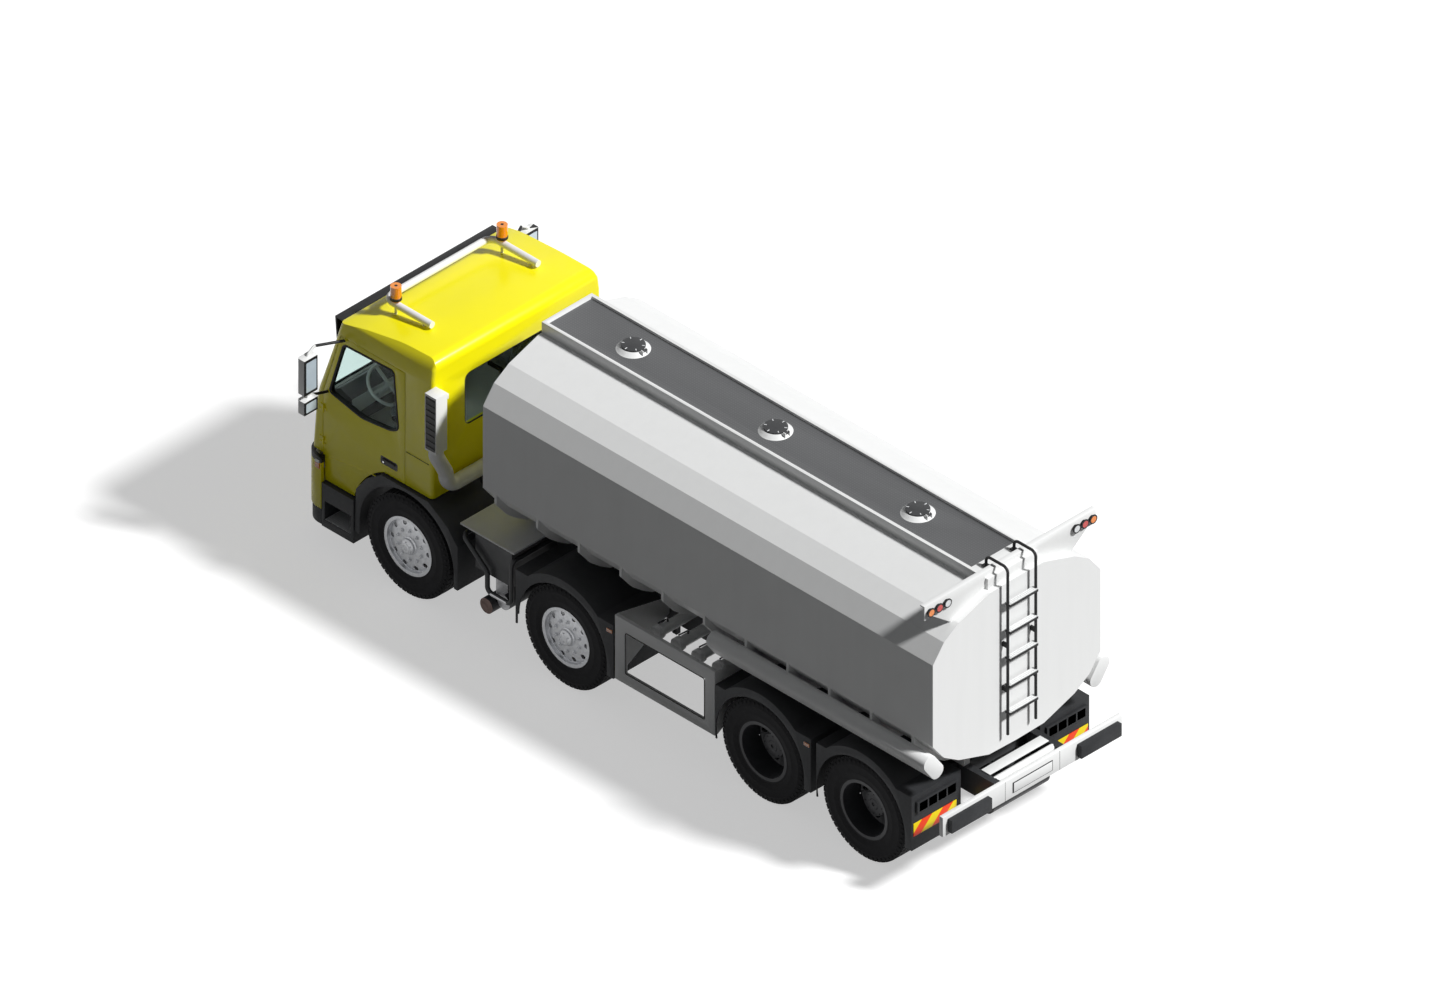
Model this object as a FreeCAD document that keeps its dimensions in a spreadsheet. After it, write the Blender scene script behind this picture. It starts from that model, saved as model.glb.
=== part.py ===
"""Eight-wheel rigid tanker truck, parked on its wheels.

The frame has +X ahead to the cab, +Y to the truck's left and +Z up, with the ground at z = 0 and the
origin midway between the front of the bumper and the rear lamps. All sizes are in millimetres.
"""
import FreeCAD, Part
import math
import operator
import os
import Sketcher

Vector = FreeCAD.Vector
doc = FreeCAD.newDocument("tanker_truck")
sheet = doc.addObject("Spreadsheet::Sheet", "Dims")


class Size:
    """A number as it is now, with the formula over the sheet's cells that gives it."""

    def __init__(self, value, formula):
        self.value = value
        self.formula = formula

    def __add__(self, other):
        return combined(self, "+", other)

    def __radd__(self, other):
        return combined(other, "+", self)

    def __sub__(self, other):
        return combined(self, "-", other)

    def __rsub__(self, other):
        return combined(other, "-", self)

    def __mul__(self, other):
        return combined(self, "*", other)

    def __rmul__(self, other):
        return combined(other, "*", self)

    def __truediv__(self, other):
        return combined(self, "/", other)

    def __neg__(self):
        return combined(0, "-", self)


SUMS = {"+": operator.add, "-": operator.sub, "*": operator.mul, "/": operator.truediv}


def as_size(number):
    """A plain number as a Size of its own."""
    if isinstance(number, Size):
        return number
    return Size(float(number), str(number))


def combined(left, sign, right):
    """Two sizes joined by one of the four sums."""
    left = as_size(left)
    right = as_size(right)
    value = SUMS[sign](left.value, right.value)
    return Size(value, f"({left.formula} {sign} {right.formula})")


def cosine(angle):
    """The cosine of an angle in degrees."""
    return Size(math.cos(math.radians(angle.value)), f"cos({angle.formula} * 1 deg)")


def sine(angle):
    """The sine of an angle in degrees."""
    return Size(math.sin(math.radians(angle.value)), f"sin({angle.formula} * 1 deg)")


DIMENSIONS = {
    # Running gear: axle places along the truck, tyres, rims and hubs.
    "axle_first": 2994, "axle_second": 849, "axle_third": -1831, "axle_fourth": -3201,
    "tyre_radius": 561, "tyre_width": 300, "tyre_face": 1176, "shoulder_width": 28, "tyre_facets": 40,
    "bead_radius": 300, "bead_inset": 23, "sidewall_bulge": 130, "flange_height": 25, "flange_wall": 12,
    "flange_lean": 5, "overshoot": 1, "rim_wall": 14, "disc_wall": 14, "disc_flat": 205,
    "disc_dish": 17, "disc_setback": 38, "twin_spacing": 338, "hand_hole_radius": 27,
    "hand_hole_circle": 246, "hand_holes": 10, "hub_radius": 80, "hub_bore": 45, "hub_inner_end": 20,
    "cap_radius": 85, "cap_length": 60, "cap_round": 25, "drum_radius": 205, "drum_wall": 27,
    "drum_depth": 80, "rear_drum_depth": 190, "rear_hub_radius": 140, "rear_hub_length": 170,
    "rear_hub_inner": 120, "running_gap": 6, "pin_gap": 0.3,
    # Steered axles: kingpins, knuckles and beams.
    "kingpin_side": 930, "kingpin_radius": 21, "eye_radius": 38, "eye_height": 112, "lug_height": 32,
    "backing_radius": 165, "backing_wall": 16, "arm_length": 230,
    "beam_width": 90, "beam_bottom": 430, "beam_top": 500, "beam_drop_start": 560, "spring_side": 430,
    "spring_width": 80, "spring_reach": 770, "spring_stack": 80, "spring_eye": 665, "hanger_length": 56,
    # Driven axles.
    "axle_tube_radius": 72, "axle_tube_end": 120, "diff_radius": 220, "diff_half": 330,
    "diff_crown": 150, "nose_length": 380, "nose_radius": 154, "trailing_half": 40,
    "bellows_radius": 105, "bellows_side": 400, "bellows_offset": 340,
    "arm_reach": 470,
    # Chassis frame.
    "rail_inner": 390, "rail_outer": 470, "rail_top": 1056, "rail_depth": 270, "rail_wall": 12,
    "rail_front": 4050, "rail_rear": -4277, "cross_depth": 160, "cross_width": 70,
    "cab_post_rear": 2700, "cab_post_length": 80, "rest_gap": 0.3, "pivot_forward": 4310,
    "pivot_height": 930, "pivot_radius": 20, "lug_radius": 35, "lug_wall": 35, "lug_back": 180,
    "lug_post": 50, "pivot_plate": 40,
    # Engine and driveline.
    "engine_rear": 2450, "engine_front": 3750, "engine_half": 340, "engine_bottom": 600,
    "engine_top": 1200, "gearbox_rear": 1700, "gearbox_half": 230, "gearbox_bottom": 560,
    "gearbox_top": 830, "shaft_radius": 50,
    # Tank, cradles and top gear.
    "tank_rear": -4112, "tank_front": 2000, "tank_half": 1139, "tank_side_bottom": 1739,
    "tank_side_top": 2698, "fold_first_side": 988, "fold_first_rise": 198, "fold_second_side": 787,
    "fold_second_rise": 326, "fold_third_side": 373, "fold_third_rise": 466, "crown_rise": 476,
    "cradle_first": 1830, "cradle_pitch": 566.5, "cradle_count": 11, "cradle_wall": 30,
    "cradle_lip": 112, "cradle_knee_side": 985, "cradle_knee": 1432, "cradle_hip_side": 860,
    "cradle_hip": 1332, "cradle_foot_side": 726, "cradle_foot": 1247, "runner_top": 1160,
    "walkway_rear": -4060, "walkway_half": 340, "walkway_top": 3289, "walkway_rim": 37,
    "walkway_floor": 3259, "platform_front": -3801, "lid_middle": -838, "lid_pitch": 1933,
    "neck_base": 171, "neck_top": 128, "neck_height": 37, "lid_radius": 120, "lid_wall": 15,
    "lid_hinge": 150, "lid_pin": 10, "lid_half": 20, "hose_side": 1129, "hose_height": 1496,
    "hose_long": 330, "hose_short": 170, "hose_lean": 55, "hose_rear": -4115, "hose_front": -1154,
    "hose_round": 80, "bar_rear": -4025, "bar_half": 1165, "bar_bottom": 3192, "bar_top": 3356,
    "bar_wall": 16, "bar_lip": 60, "gusset_wall": 12, "gusset_outer": 1050, "bar_lamp_radius": 36,
    "bar_lamp_pitch": 112, "bar_lamp_side": 1100, "bar_lamp_depth": 34,
    # Ladder.
    "ladder_back": -4181, "ladder_half": 190, "ladder_rail": 15, "ladder_bottom": 1451,
    "ladder_top": 3422, "ladder_reach": 294, "ladder_bend": 60, "step_depth": 70, "step_wall": 30,
    "step_first": 1706, "step_pitch": 317.5, "step_count": 5, "standoff_low": 1970,
    "standoff_high": 2490, "standoff_wall": 24,
    # Sides of the chassis.
    "frame_rear": -1217, "frame_front": 140, "frame_side": 1207, "frame_wall": 40, "frame_bottom": 459,
    "frame_top": 1211, "frame_post": 136, "frame_sill": 578, "frame_head": 1066, "end_plate": 8,
    "plate_toe": 862, "pipe_radius": 58, "pipe_height": 1122, "pipe_first": -272, "pipe_pitch": 279,
    "pipe_count": 4, "pipe_end": 1070, "coupling_radius": 70, "coupling_length": 60, "deck_rear": 1564,
    "deck_inner": 560, "deck_front": 2293, "deck_side": 1153, "deck_top": 1188, "deck_wall": 20,
    "battery_rear": 1665, "battery_front": 2160, "battery_inner": 520, "battery_side": 1080,
    "battery_bottom": 700, "guard_tube": 25, "guard_rear": 1621, "guard_middle": 1949,
    "guard_front": 2281, "guard_bend": 60, "guard_high": 1040, "guard_low": 541, "guard_step": 765,
    "air_tank_radius": 85, "air_tank_forward": 1940, "air_tank_height": 384, "air_tank_rear": 1780,
    "air_tank_upper": 470, "rear_tank_radius": 125, "rear_tank_half": 380, "rear_tank_back": -4060,
    "rear_tank_height": 689, "fuel_rear": -1100, "fuel_front": 60, "fuel_outer": 1180,
    "fuel_inner": 560, "fuel_bottom": 480, "fuel_top": 1060, "fuel_round": 120,
    "fuel_bracket_rear": -868, "fuel_bracket_front": -172, "box_rear": 1640, "box_front": 2200,
    "box_outer": 1130, "box_inner": 560, "box_bottom": 460, "box_top": 1000, "box_round": 60,
    # Rear bumper and lamps.
    "bumper_rear": -4327, "bumper_half": 1218, "bumper_bottom": 823, "bumper_top": 1053,
    "bumper_wall": 50, "cluster_inner": 605, "cluster_outer": 1155, "cluster_height": 150,
    "cluster_depth": 60, "marker_size": 60, "guard_lamp_low": 860, "guard_lamp_high": 995,
    # Mudguards.
    "guard_inner": 538, "guard_outer": 1207, "guard_arch": 695, "guard_opening": 600, "guard_wall": 14,
    "guard_shelf": 1070, "guard_ahead_steered": 640, "guard_ahead": 605, "guard_behind": 690,
    "guard_foot": 440, "guard_stay": 20, "stay_ahead": 560, "fender_arch": 640, "fender_outer": 1180,
    "fender_top": 1238, "fender_back": 2303, "fender_foot": 393, "fender_knee": 899,
    "fender_shoulder_back": 556, "fender_shoulder": 1068, "fender_top_back": 291,
    "fender_top_ahead": 340, "fender_brow_ahead": 560, "fender_brow": 1080, "fender_nose_ahead": 690,
    "fender_nose": 902, "fender_toe_ahead": 706, "fender_stay_back": 640, "fender_stay": 961,
    # Cab.
    "cab_rear": 2677, "cab_half": 1148, "cab_wall": 55, "cab_bottom": 776, "cab_floor": 1258,
    "floor_wall": 42, "front_lip": 1084, "front_low": 4330, "front_waist": 4285, "front_sill": 4250,
    "front_head": 4050, "front_brow": 3985, "waist_height": 1647, "sill_height": 1800,
    "head_height": 2388, "brow_height": 2600, "crown_height": 2740, "roof_height": 2860,
    "head_half": 1146, "brow_half": 1143, "crown_half": 1124, "roof_half": 1055, "front_round": 70,
    "rear_round": 45, "roof_rear": 2847, "roof_back": 3150, "roof_back_height": 2836,
    "roof_ahead": 3650, "roof_ahead_height": 2768, "roof_front": 2690, "roof_sweep": 2500,
    "roof_round": 110, "wheel_arch": 776, "arch_rear_limit": 3336, "door_recess": 23,
    "door_rear": 3053, "door_front": 4159, "door_foot": 4132, "door_top": 2560, "door_gap": 6,
    "door_inner": 1045, "door_head_inset": 128, "door_sill_inset": 94, "hinge_back": 10,
    "hinge_out": 12, "hinge_radius": 9, "hinge_pin": 5, "hinge_low": 1180, "hinge_high": 1560,
    "hinge_third": 30, "hinge_leaf": 4, "hinge_reach": 36,
    # Windows.
    "window_rear": 3141, "window_front": 4077, "window_sill": 1745,
    "window_head": 2506, "window_round": 70, "window_head_back": 63, "window_waist": 1849,
    "window_low_back": 103, "window_low": 1794, "window_keel": 492, "window_front_low": 1839,
    "window_brow_back": 193, "window_brow": 2481, "screen_bottom": 1700, "screen_top": 2362,
    "screen_low_half": 1010, "screen_top_half": 950, "screen_round": 80, "rear_glass_half": 709,
    "rear_glass_bottom": 1906, "rear_glass_top": 2518, "glass_depth": 20, "glass_wall": 8,
    "visor_half": 1070, "visor_top": 2688, "visor_bottom": 2424, "visor_front": 4079, "visor_wall": 16,
    "visor_lean": 5, "tube_radius": 36.5, "tube_forward": 3745, "tube_back": 3107, "tube_side": 721,
    "tube_height": 2888, "tube_bend": 110, "foot_radius": 14, "beacon_forward": 3599,
    "beacon_radius": 55, "beacon_height": 165, "beacon_stem": 18, "intake_rear": 2493,
    "intake_front": 2646, "intake_outer": 1282, "intake_width": 150, "intake_bottom": 1938,
    "intake_top": 2600, "duct_radius": 75, "duct_side": 1070, "duct_low": 1420, "duct_end": 420,
    "duct_bend": 150, "duct_drop": 338, "low_bracket": 1645, "mirror_rear": 3971, "mirror_depth": 104,
    "mirror_inner": 1408, "mirror_outer": 1591, "mirror_bottom": 2045, "mirror_top": 2455,
    "wide_bottom": 1815, "wide_top": 1967, "arm_radius": 15, "mirror_round": 30, "seat_side": 650,
    "seat_half": 240, "seat_rear": 3000, "seat_front": 3560, "seat_low": 1660, "seat_top": 1790,
    "back_top": 2330, "back_wall": 140, "seat_foot": 180, "dash_back": 3880, "dash_top": 1840,
    "dash_low": 1400, "dash_front": 4170, "dash_half": 1035, "dash_edge": 40, "dash_brow": 60,
    "dash_slope": 130, "dash_lip": 20, "dash_knee": 1600, "dash_shelf": 120, "dash_foot": 170,
    "wheel_ring": 225, "wheel_grip": 16, "wheel_forward": 3760, "wheel_side": 650, "wheel_height": 1830,
    "column_length": 315, "wheel_lean": 35, "grille_half": 640, "grille_bottom": 1110,
    "grille_top": 1420, "grille_wall": 14,
    # Front end below the cab.
    "front_face": 4387, "front_side": 1200, "front_wall": 40, "front_back": 4137, "front_bend": 200,
    "front_bottom": 449, "front_top": 1055, "front_clip": 53, "front_clip_drop": 30,
    "skirt_bottom": 266, "skirt_inset": 8, "edge_round": 8,
    "step_box_rear": 3705, "step_box_inner": 700, "step_box_bottom": 253, "step_box_top": 760,
    "step_box_side": 1192, "step_pocket": 340, "step_pocket_top": 560, "step_pocket_inner": 900,
    "headlamp_bottom": 700, "headlamp_top": 900, "headlamp_inner": 760, "headlamp_outer": 1010,
}


class Dimensions:
    """The driving dimensions by name, each kept in a cell of the sheet."""

    def __init__(self, values):
        for row, (name, value) in enumerate(values.items(), 1):
            sheet.set(f"A{row}", name)
            sheet.set(f"B{row}", str(value))
            sheet.setAlias(f"B{row}", name)
            setattr(self, name, Size(float(value), f"Dims.{name}"))


d = Dimensions(DIMENSIONS)

SIDES = {"left": 1, "right": -1}
AXES = {"first": d.axle_first, "second": d.axle_second, "third": d.axle_third, "fourth": d.axle_fourth}
wheel_middle = d.tyre_face - d.tyre_width / 2
twin_middle = wheel_middle - d.twin_spacing / 2


def bind(item, name, size):
    """Tie one property of an object to its formula."""
    item.setExpression(name, as_size(size).formula)


def place(item, x, y, z):
    """Tie an object's place to three formulas."""
    for axis, size in zip("xyz", (x, y, z)):
        bind(item, "Placement.Base." + axis, size)


def block(name, x, y, z):
    """A box between two places along each axis."""
    item = doc.addObject("Part::Box", name)
    for side, (low, high) in zip(("Length", "Width", "Height"), (x, y, z)):
        bind(item, side, as_size(high) - low)
    place(item, x[0], y[0], z[0])
    return item


ALONG = {
    "x": FreeCAD.Rotation(Vector(0, 1, 0), 90),
    "y": FreeCAD.Rotation(Vector(1, 0, 0), -90),
    "z": FreeCAD.Rotation(),
}


def set_along(item, axis, start, centre):
    """Lay a round piece along one axis from its start, with its middle line at the centre."""
    item.Placement = FreeCAD.Placement(Vector(), ALONG[axis])
    spot = list(centre)
    spot.insert("xyz".index(axis), start)
    place(item, *spot)


def rod(name, axis, start, end, radius, centre):
    """A round bar along one axis."""
    item = doc.addObject("Part::Cylinder", name)
    bind(item, "Radius", radius)
    bind(item, "Height", as_size(end) - start)
    set_along(item, axis, start, centre)
    return item


def cone(name, axis, start, end, radii, centre):
    """A round taper along one axis."""
    item = doc.addObject("Part::Cone", name)
    bind(item, "Radius1", radii[0])
    bind(item, "Radius2", radii[1])
    bind(item, "Height", as_size(end) - start)
    set_along(item, axis, start, centre)
    return item


def fused(name, *pieces):
    """Pieces joined into one."""
    item = doc.addObject("Part::MultiFuse", name)
    item.Shapes = list(pieces)
    return item


def grouped(name, *pieces):
    """Like pieces that stay apart, kept together."""
    item = doc.addObject("Part::Compound", name)
    item.Links = list(pieces)
    return item


def shared(name, *pieces):
    """What pieces have in common."""
    item = doc.addObject("Part::MultiCommon", name)
    item.Shapes = list(pieces)
    return item


def cut(name, base, *tools):
    """A piece with others taken away from it."""
    item = doc.addObject("Part::Cut", name)
    item.Base = base
    item.Tool = tools[0] if len(tools) == 1 else fused(name + "_tools", *tools)
    return item


def mirrored(name, piece):
    """The same piece on the other side of the truck."""
    item = doc.addObject("Part::Mirroring", name)
    item.Source = piece
    item.Normal = Vector(0, 1, 0)
    return item


def both_sides(name, piece):
    """A piece and its mirror image, kept together."""
    return grouped(name, piece, mirrored(name + "_other", piece))


def new_sketch(body, plane, name, offset):
    """A sketch on one of a body's own planes, moved along that plane's normal."""
    sketch = body.newObject("Sketcher::SketchObject", name)
    support = next(item for item in body.Origin.OriginFeatures if item.Role == plane + "_Plane")
    sketch.AttachmentSupport = [(support, "")]
    sketch.MapMode = "FlatFace"
    bind(sketch, "AttachmentOffset.Base.z", offset)
    return sketch


class Holds:
    """The constraints of one sketch, added together once its geometry stands."""

    def __init__(self, sketch):
        self.sketch = sketch
        self.constraints = []
        self.formulas = {}

    def tie(self, kind, *references):
        """A geometric constraint."""
        self.constraints.append(Sketcher.Constraint(kind, *references))

    def size(self, kind, references, size):
        """A dimension with its formula."""
        size = as_size(size)
        self.formulas[len(self.constraints)] = size.formula
        self.constraints.append(Sketcher.Constraint(kind, *references, size.value))

    def point(self, geometry, vertex, x, y):
        """Hold one point at its two coordinates."""
        self.size("DistanceX", (-1, 1, geometry, vertex), x)
        self.size("DistanceY", (-1, 1, geometry, vertex), y)

    def add(self):
        """Put them all into the sketch and bind the dimensions."""
        start = self.sketch.ConstraintCount
        self.sketch.addConstraint(self.constraints)
        for index, formula in self.formulas.items():
            self.sketch.setExpression(f"Constraints[{start + index}]", formula)


def corner_arc(before, corner, after, radius):
    """Start, middle and end of the arc that rounds one corner."""
    back = (before - corner).normalize()
    ahead = (after - corner).normalize()
    half_angle = back.getAngle(ahead) / 2
    reach = radius / math.tan(half_angle)
    bisector = (back + ahead).normalize()
    centre = corner + bisector * (radius / math.sin(half_angle))
    return corner + back * reach, centre - bisector * radius, corner + ahead * reach


def draw_outline(sketch, corners):
    """A closed outline held at its corners; a corner's third number is its rounding."""
    spots = [Vector(as_size(corner[0]).value, as_size(corner[1]).value, 0) for corner in corners]
    total = len(corners)
    arcs = {}
    for index, corner in enumerate(corners):
        if len(corner) == 3:
            following = spots[(index + 1) % total]
            arcs[index] = corner_arc(spots[index - 1], spots[index], following, as_size(corner[2]).value)
    lines = []
    for index in range(total):
        following = (index + 1) % total
        start = arcs[index][2] if index in arcs else spots[index]
        end = arcs[following][0] if following in arcs else spots[following]
        lines.append(sketch.addGeometry(Part.LineSegment(start, end), False))
    holds = Holds(sketch)
    for index, corner in enumerate(corners):
        before = lines[index - 1]
        after = lines[index]
        if index not in arcs:
            holds.tie("Coincident", before, 2, after, 1)
            holds.point(after, 1, corner[0], corner[1])
            continue
        point = sketch.addGeometry(Part.Point(spots[index]), True)
        begin, middle, end = arcs[index]
        if (middle - begin).cross(end - middle).z > 0:
            arc = sketch.addGeometry(Part.Arc(begin, middle, end), False)
            first, last = 1, 2
        else:
            arc = sketch.addGeometry(Part.Arc(end, middle, begin), False)
            first, last = 2, 1
        holds.point(point, 1, corner[0], corner[1])
        holds.tie("PointOnObject", point, 1, before)
        holds.tie("PointOnObject", point, 1, after)
        holds.tie("Tangent", before, 2, arc, first)
        holds.tie("Tangent", after, 1, arc, last)
        holds.size("Radius", (arc,), corner[2])
    holds.add()


def draw_circle(sketch, x, y, radius):
    """A circle held at its centre."""
    centre = Vector(as_size(x).value, as_size(y).value, 0)
    circle = sketch.addGeometry(Part.Circle(centre, Vector(0, 0, 1), as_size(radius).value), False)
    holds = Holds(sketch)
    holds.point(circle, 3, x, y)
    holds.size("Radius", (circle,), radius)
    holds.add()


def prism(name, plane, corners, low, high, holes=()):
    """An outline in the XY, XZ or YZ plane, padded between two places along the third axis."""
    body = doc.addObject("PartDesign::Body", name)
    start = -as_size(high) if plane == "XZ" else low
    sketch = new_sketch(body, plane, name + "_outline", start)
    draw_outline(sketch, corners)
    for hole in holes:
        if len(hole) == 3 and not isinstance(hole[0], tuple):
            draw_circle(sketch, *hole)
        else:
            draw_outline(sketch, hole)
    pad = body.newObject("PartDesign::Pad", name + "_pad")
    pad.Profile = sketch
    bind(pad, "Length", as_size(high) - low)
    return body


def turned(name, corners, x, y, z):
    """An outline of radius against distance, turned round a line along Y through a centre."""
    body = doc.addObject("PartDesign::Body", name)
    sketch = new_sketch(body, "XY", name + "_outline", 0)
    draw_outline(sketch, corners)
    turn = body.newObject("PartDesign::Revolution", name + "_turn")
    turn.Profile = sketch
    turn.ReferenceAxis = (sketch, ["V_Axis"])
    turn.Angle = 360
    place(body, x, y, z)
    return body


def bent_tube(name, radius, bend, points):
    """A round tube through points in space, its corners turned by arcs."""
    spots = [Vector(*[as_size(number).value for number in point]) for point in points]
    edges = []
    start = spots[0]
    for before, corner, after in zip(spots, spots[1:], spots[2:]):
        first, middle, last = corner_arc(before, corner, after, as_size(bend).value)
        edges.append(Part.LineSegment(start, first).toShape())
        edges.append(Part.Arc(first, middle, last).toShape())
        start = last
    edges.append(Part.LineSegment(start, spots[-1]).toShape())
    ring = Part.Circle(spots[0], spots[1] - spots[0], as_size(radius).value).toShape()
    item = doc.addObject("Part::Feature", name)
    item.Shape = Part.Wire(edges).makePipeShell([Part.Wire([ring])], True, False)
    return item


NODES = []


def node(name, piece):
    """Name a finished sub-part, which its file is named after."""
    piece.Label = name
    NODES.append(piece)
    return piece


def tyre(name, forward, middle):
    """A tyre about its middle plane, as a ring of flat facets that stands on one of them."""
    half = d.tyre_width / 2
    bead = half - d.bead_inset - d.rest_gap
    bulge = d.bead_radius + d.sidewall_bulge
    crown = half - d.shoulder_width
    bore = d.bead_radius + d.rest_gap
    section = [
        (bore, -bead),
        (bulge, -half),
        (d.tyre_radius, -crown),
        (d.tyre_radius, crown),
        (bulge, half),
        (bore, bead),
    ]
    sides = int(d.tyre_facets.value)
    centre = Vector(forward.value, middle.value, d.tyre_radius.value)
    step = 2 * math.pi / sides
    rings = []
    for index in range(sides + 1):
        turn = (index + 0.5) * step
        reach = Vector(math.sin(turn), 0, math.cos(turn)) / math.cos(step / 2)
        rings.append([
            centre + reach * radius.value + Vector(0, across.value, 0) for radius, across in section
        ])
    facets = []
    for near, far in zip(rings, rings[1:]):
        for index in range(len(section)):
            corners = [near[index - 1], far[index - 1], far[index], near[index]]
            facets.append(Part.Face(Part.makePolygon(corners + corners[:1])))
    item = doc.addObject("Part::Feature", name)
    item.Shape = Part.makeSolid(Part.makeShell(facets))
    return item


def single_rim_outline(out):
    """Section of a steered wheel's rim, disc, hub and drum; out is +1 on the left."""
    bead = d.tyre_width / 2 - d.bead_inset
    lip = bead + d.flange_wall
    barrel = d.bead_radius - d.rim_wall
    flange = d.bead_radius + d.flange_height
    face = d.tyre_width / 2 - d.disc_setback
    back = face - d.disc_wall
    drum_inner = d.drum_radius - d.drum_wall
    web = back - d.disc_setback
    section = [
        (0, back),
        (d.hub_bore, back),
        (d.hub_bore, -d.hub_inner_end),
        (d.hub_radius, -d.hub_inner_end),
        (d.hub_radius, web),
        (drum_inner, web),
        (drum_inner, -d.drum_depth),
        (d.drum_radius, -d.drum_depth),
        (d.disc_flat, back),
        (barrel, back - d.disc_dish),
        (barrel, -lip),
        (flange, -lip),
        (flange, -bead - d.flange_lean),
        (d.bead_radius, -bead),
        (d.bead_radius, bead),
        (flange, bead + d.flange_lean),
        (flange, lip),
        (barrel, lip),
        (barrel, face - d.disc_dish),
        (d.disc_flat, face),
        (d.cap_radius, face),
        (d.cap_radius, face + d.cap_length - d.cap_round),
        (d.cap_radius - d.cap_round, face + d.cap_length),
        (0, face + d.cap_length),
    ]
    return [(radius, across * out) for radius, across in section]


def twin_rim_outline(out):
    """Section of two rims bolted back to back, with the hub and the drum."""
    half = d.twin_spacing / 2
    bead = d.tyre_width / 2 - d.bead_inset
    lip = bead + d.flange_wall
    barrel = d.bead_radius - d.rim_wall
    flange = d.bead_radius + d.flange_height
    inner_lip = half - lip
    inner_bead = half - bead
    disc = d.disc_wall
    dished = inner_lip + disc
    drum_inner = d.drum_radius - d.drum_wall
    groove = d.disc_flat + d.disc_dish
    bore = d.axle_tube_radius + d.pin_gap
    section = [
        (0, d.rear_hub_length),
        (d.rear_hub_radius / 2, d.rear_hub_length),
        (d.rear_hub_radius, d.rear_hub_length - d.rear_hub_radius / 2),
        (d.rear_hub_radius, disc),
        (d.disc_flat, disc),
        (barrel, dished + disc),
        (barrel, half + lip),
        (flange, half + lip),
        (flange, half + bead + d.flange_lean),
        (d.bead_radius, half + bead),
        (d.bead_radius, inner_bead),
        (flange, inner_bead - d.flange_lean),
        (flange, inner_lip),
        (barrel, inner_lip),
        (barrel, dished),
        (groove, 0),
        (barrel, -dished),
        (barrel, -inner_lip),
        (flange, -inner_lip),
        (flange, d.flange_lean - inner_bead),
        (d.bead_radius, -inner_bead),
        (d.bead_radius, -half - bead),
        (flange, -half - bead - d.flange_lean),
        (flange, -half - lip),
        (barrel, -half - lip),
        (barrel, -dished - disc),
        (d.disc_flat, -disc),
        (d.disc_flat, -d.rear_drum_depth),
        (drum_inner, -d.rear_drum_depth),
        (drum_inner, -disc * 2),
        (d.rear_hub_radius, -disc * 2),
        (d.rear_hub_radius, -d.rear_hub_inner),
        (bore, -d.rear_hub_inner),
        (bore, d.rear_hub_length - 2 * disc),
        (0, d.rear_hub_length - 2 * disc),
    ]
    return [(radius, across * out) for radius, across in section]


def with_hand_holes(body, name):
    """Cut the ring of hand holes through a rim's disc."""
    sketch = new_sketch(body, "XZ", name + "_hole", 0)
    draw_circle(sketch, d.hand_hole_circle, 0, d.hand_hole_radius)
    pocket = body.newObject("PartDesign::Pocket", name + "_pocket")
    pocket.Profile = sketch
    pocket.Type = "Length"
    pocket.Midplane = True
    bind(pocket, "Length", d.tyre_width - d.bead_inset)
    ring = body.newObject("PartDesign::PolarPattern", name + "_ring")
    ring.Originals = [pocket]
    ring.Axis = (sketch, ["N_Axis"])
    ring.Angle = 360
    bind(ring, "Occurrences", d.hand_holes)
    body.Tip = ring


def make_wheels():
    """Tyres and rims of all four axles."""
    for axle, forward in AXES.items():
        twin = axle in ("third", "fourth")
        for side, out in SIDES.items():
            name = f"{axle}_{side}"
            middle = (twin_middle if twin else wheel_middle) * out
            spot = (forward, middle, d.tyre_radius)
            if twin:
                half = d.twin_spacing / 2
                outer = tyre("outer_tyre_" + name, forward, middle + half)
                inner = tyre("inner_tyre_" + name, forward, middle - half)
                node("tyres_" + name, grouped("tyres_" + name, outer, inner))
                rim = turned("rims_" + name, twin_rim_outline(out), *spot)
                node("rims_" + name, rim)
            else:
                node("tyre_" + name, tyre("tyre_" + name, forward, middle))
                rim = turned("rim_" + name, single_rim_outline(out), *spot)
                node("rim_" + name, rim)
            with_hand_holes(rim, name)


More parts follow.
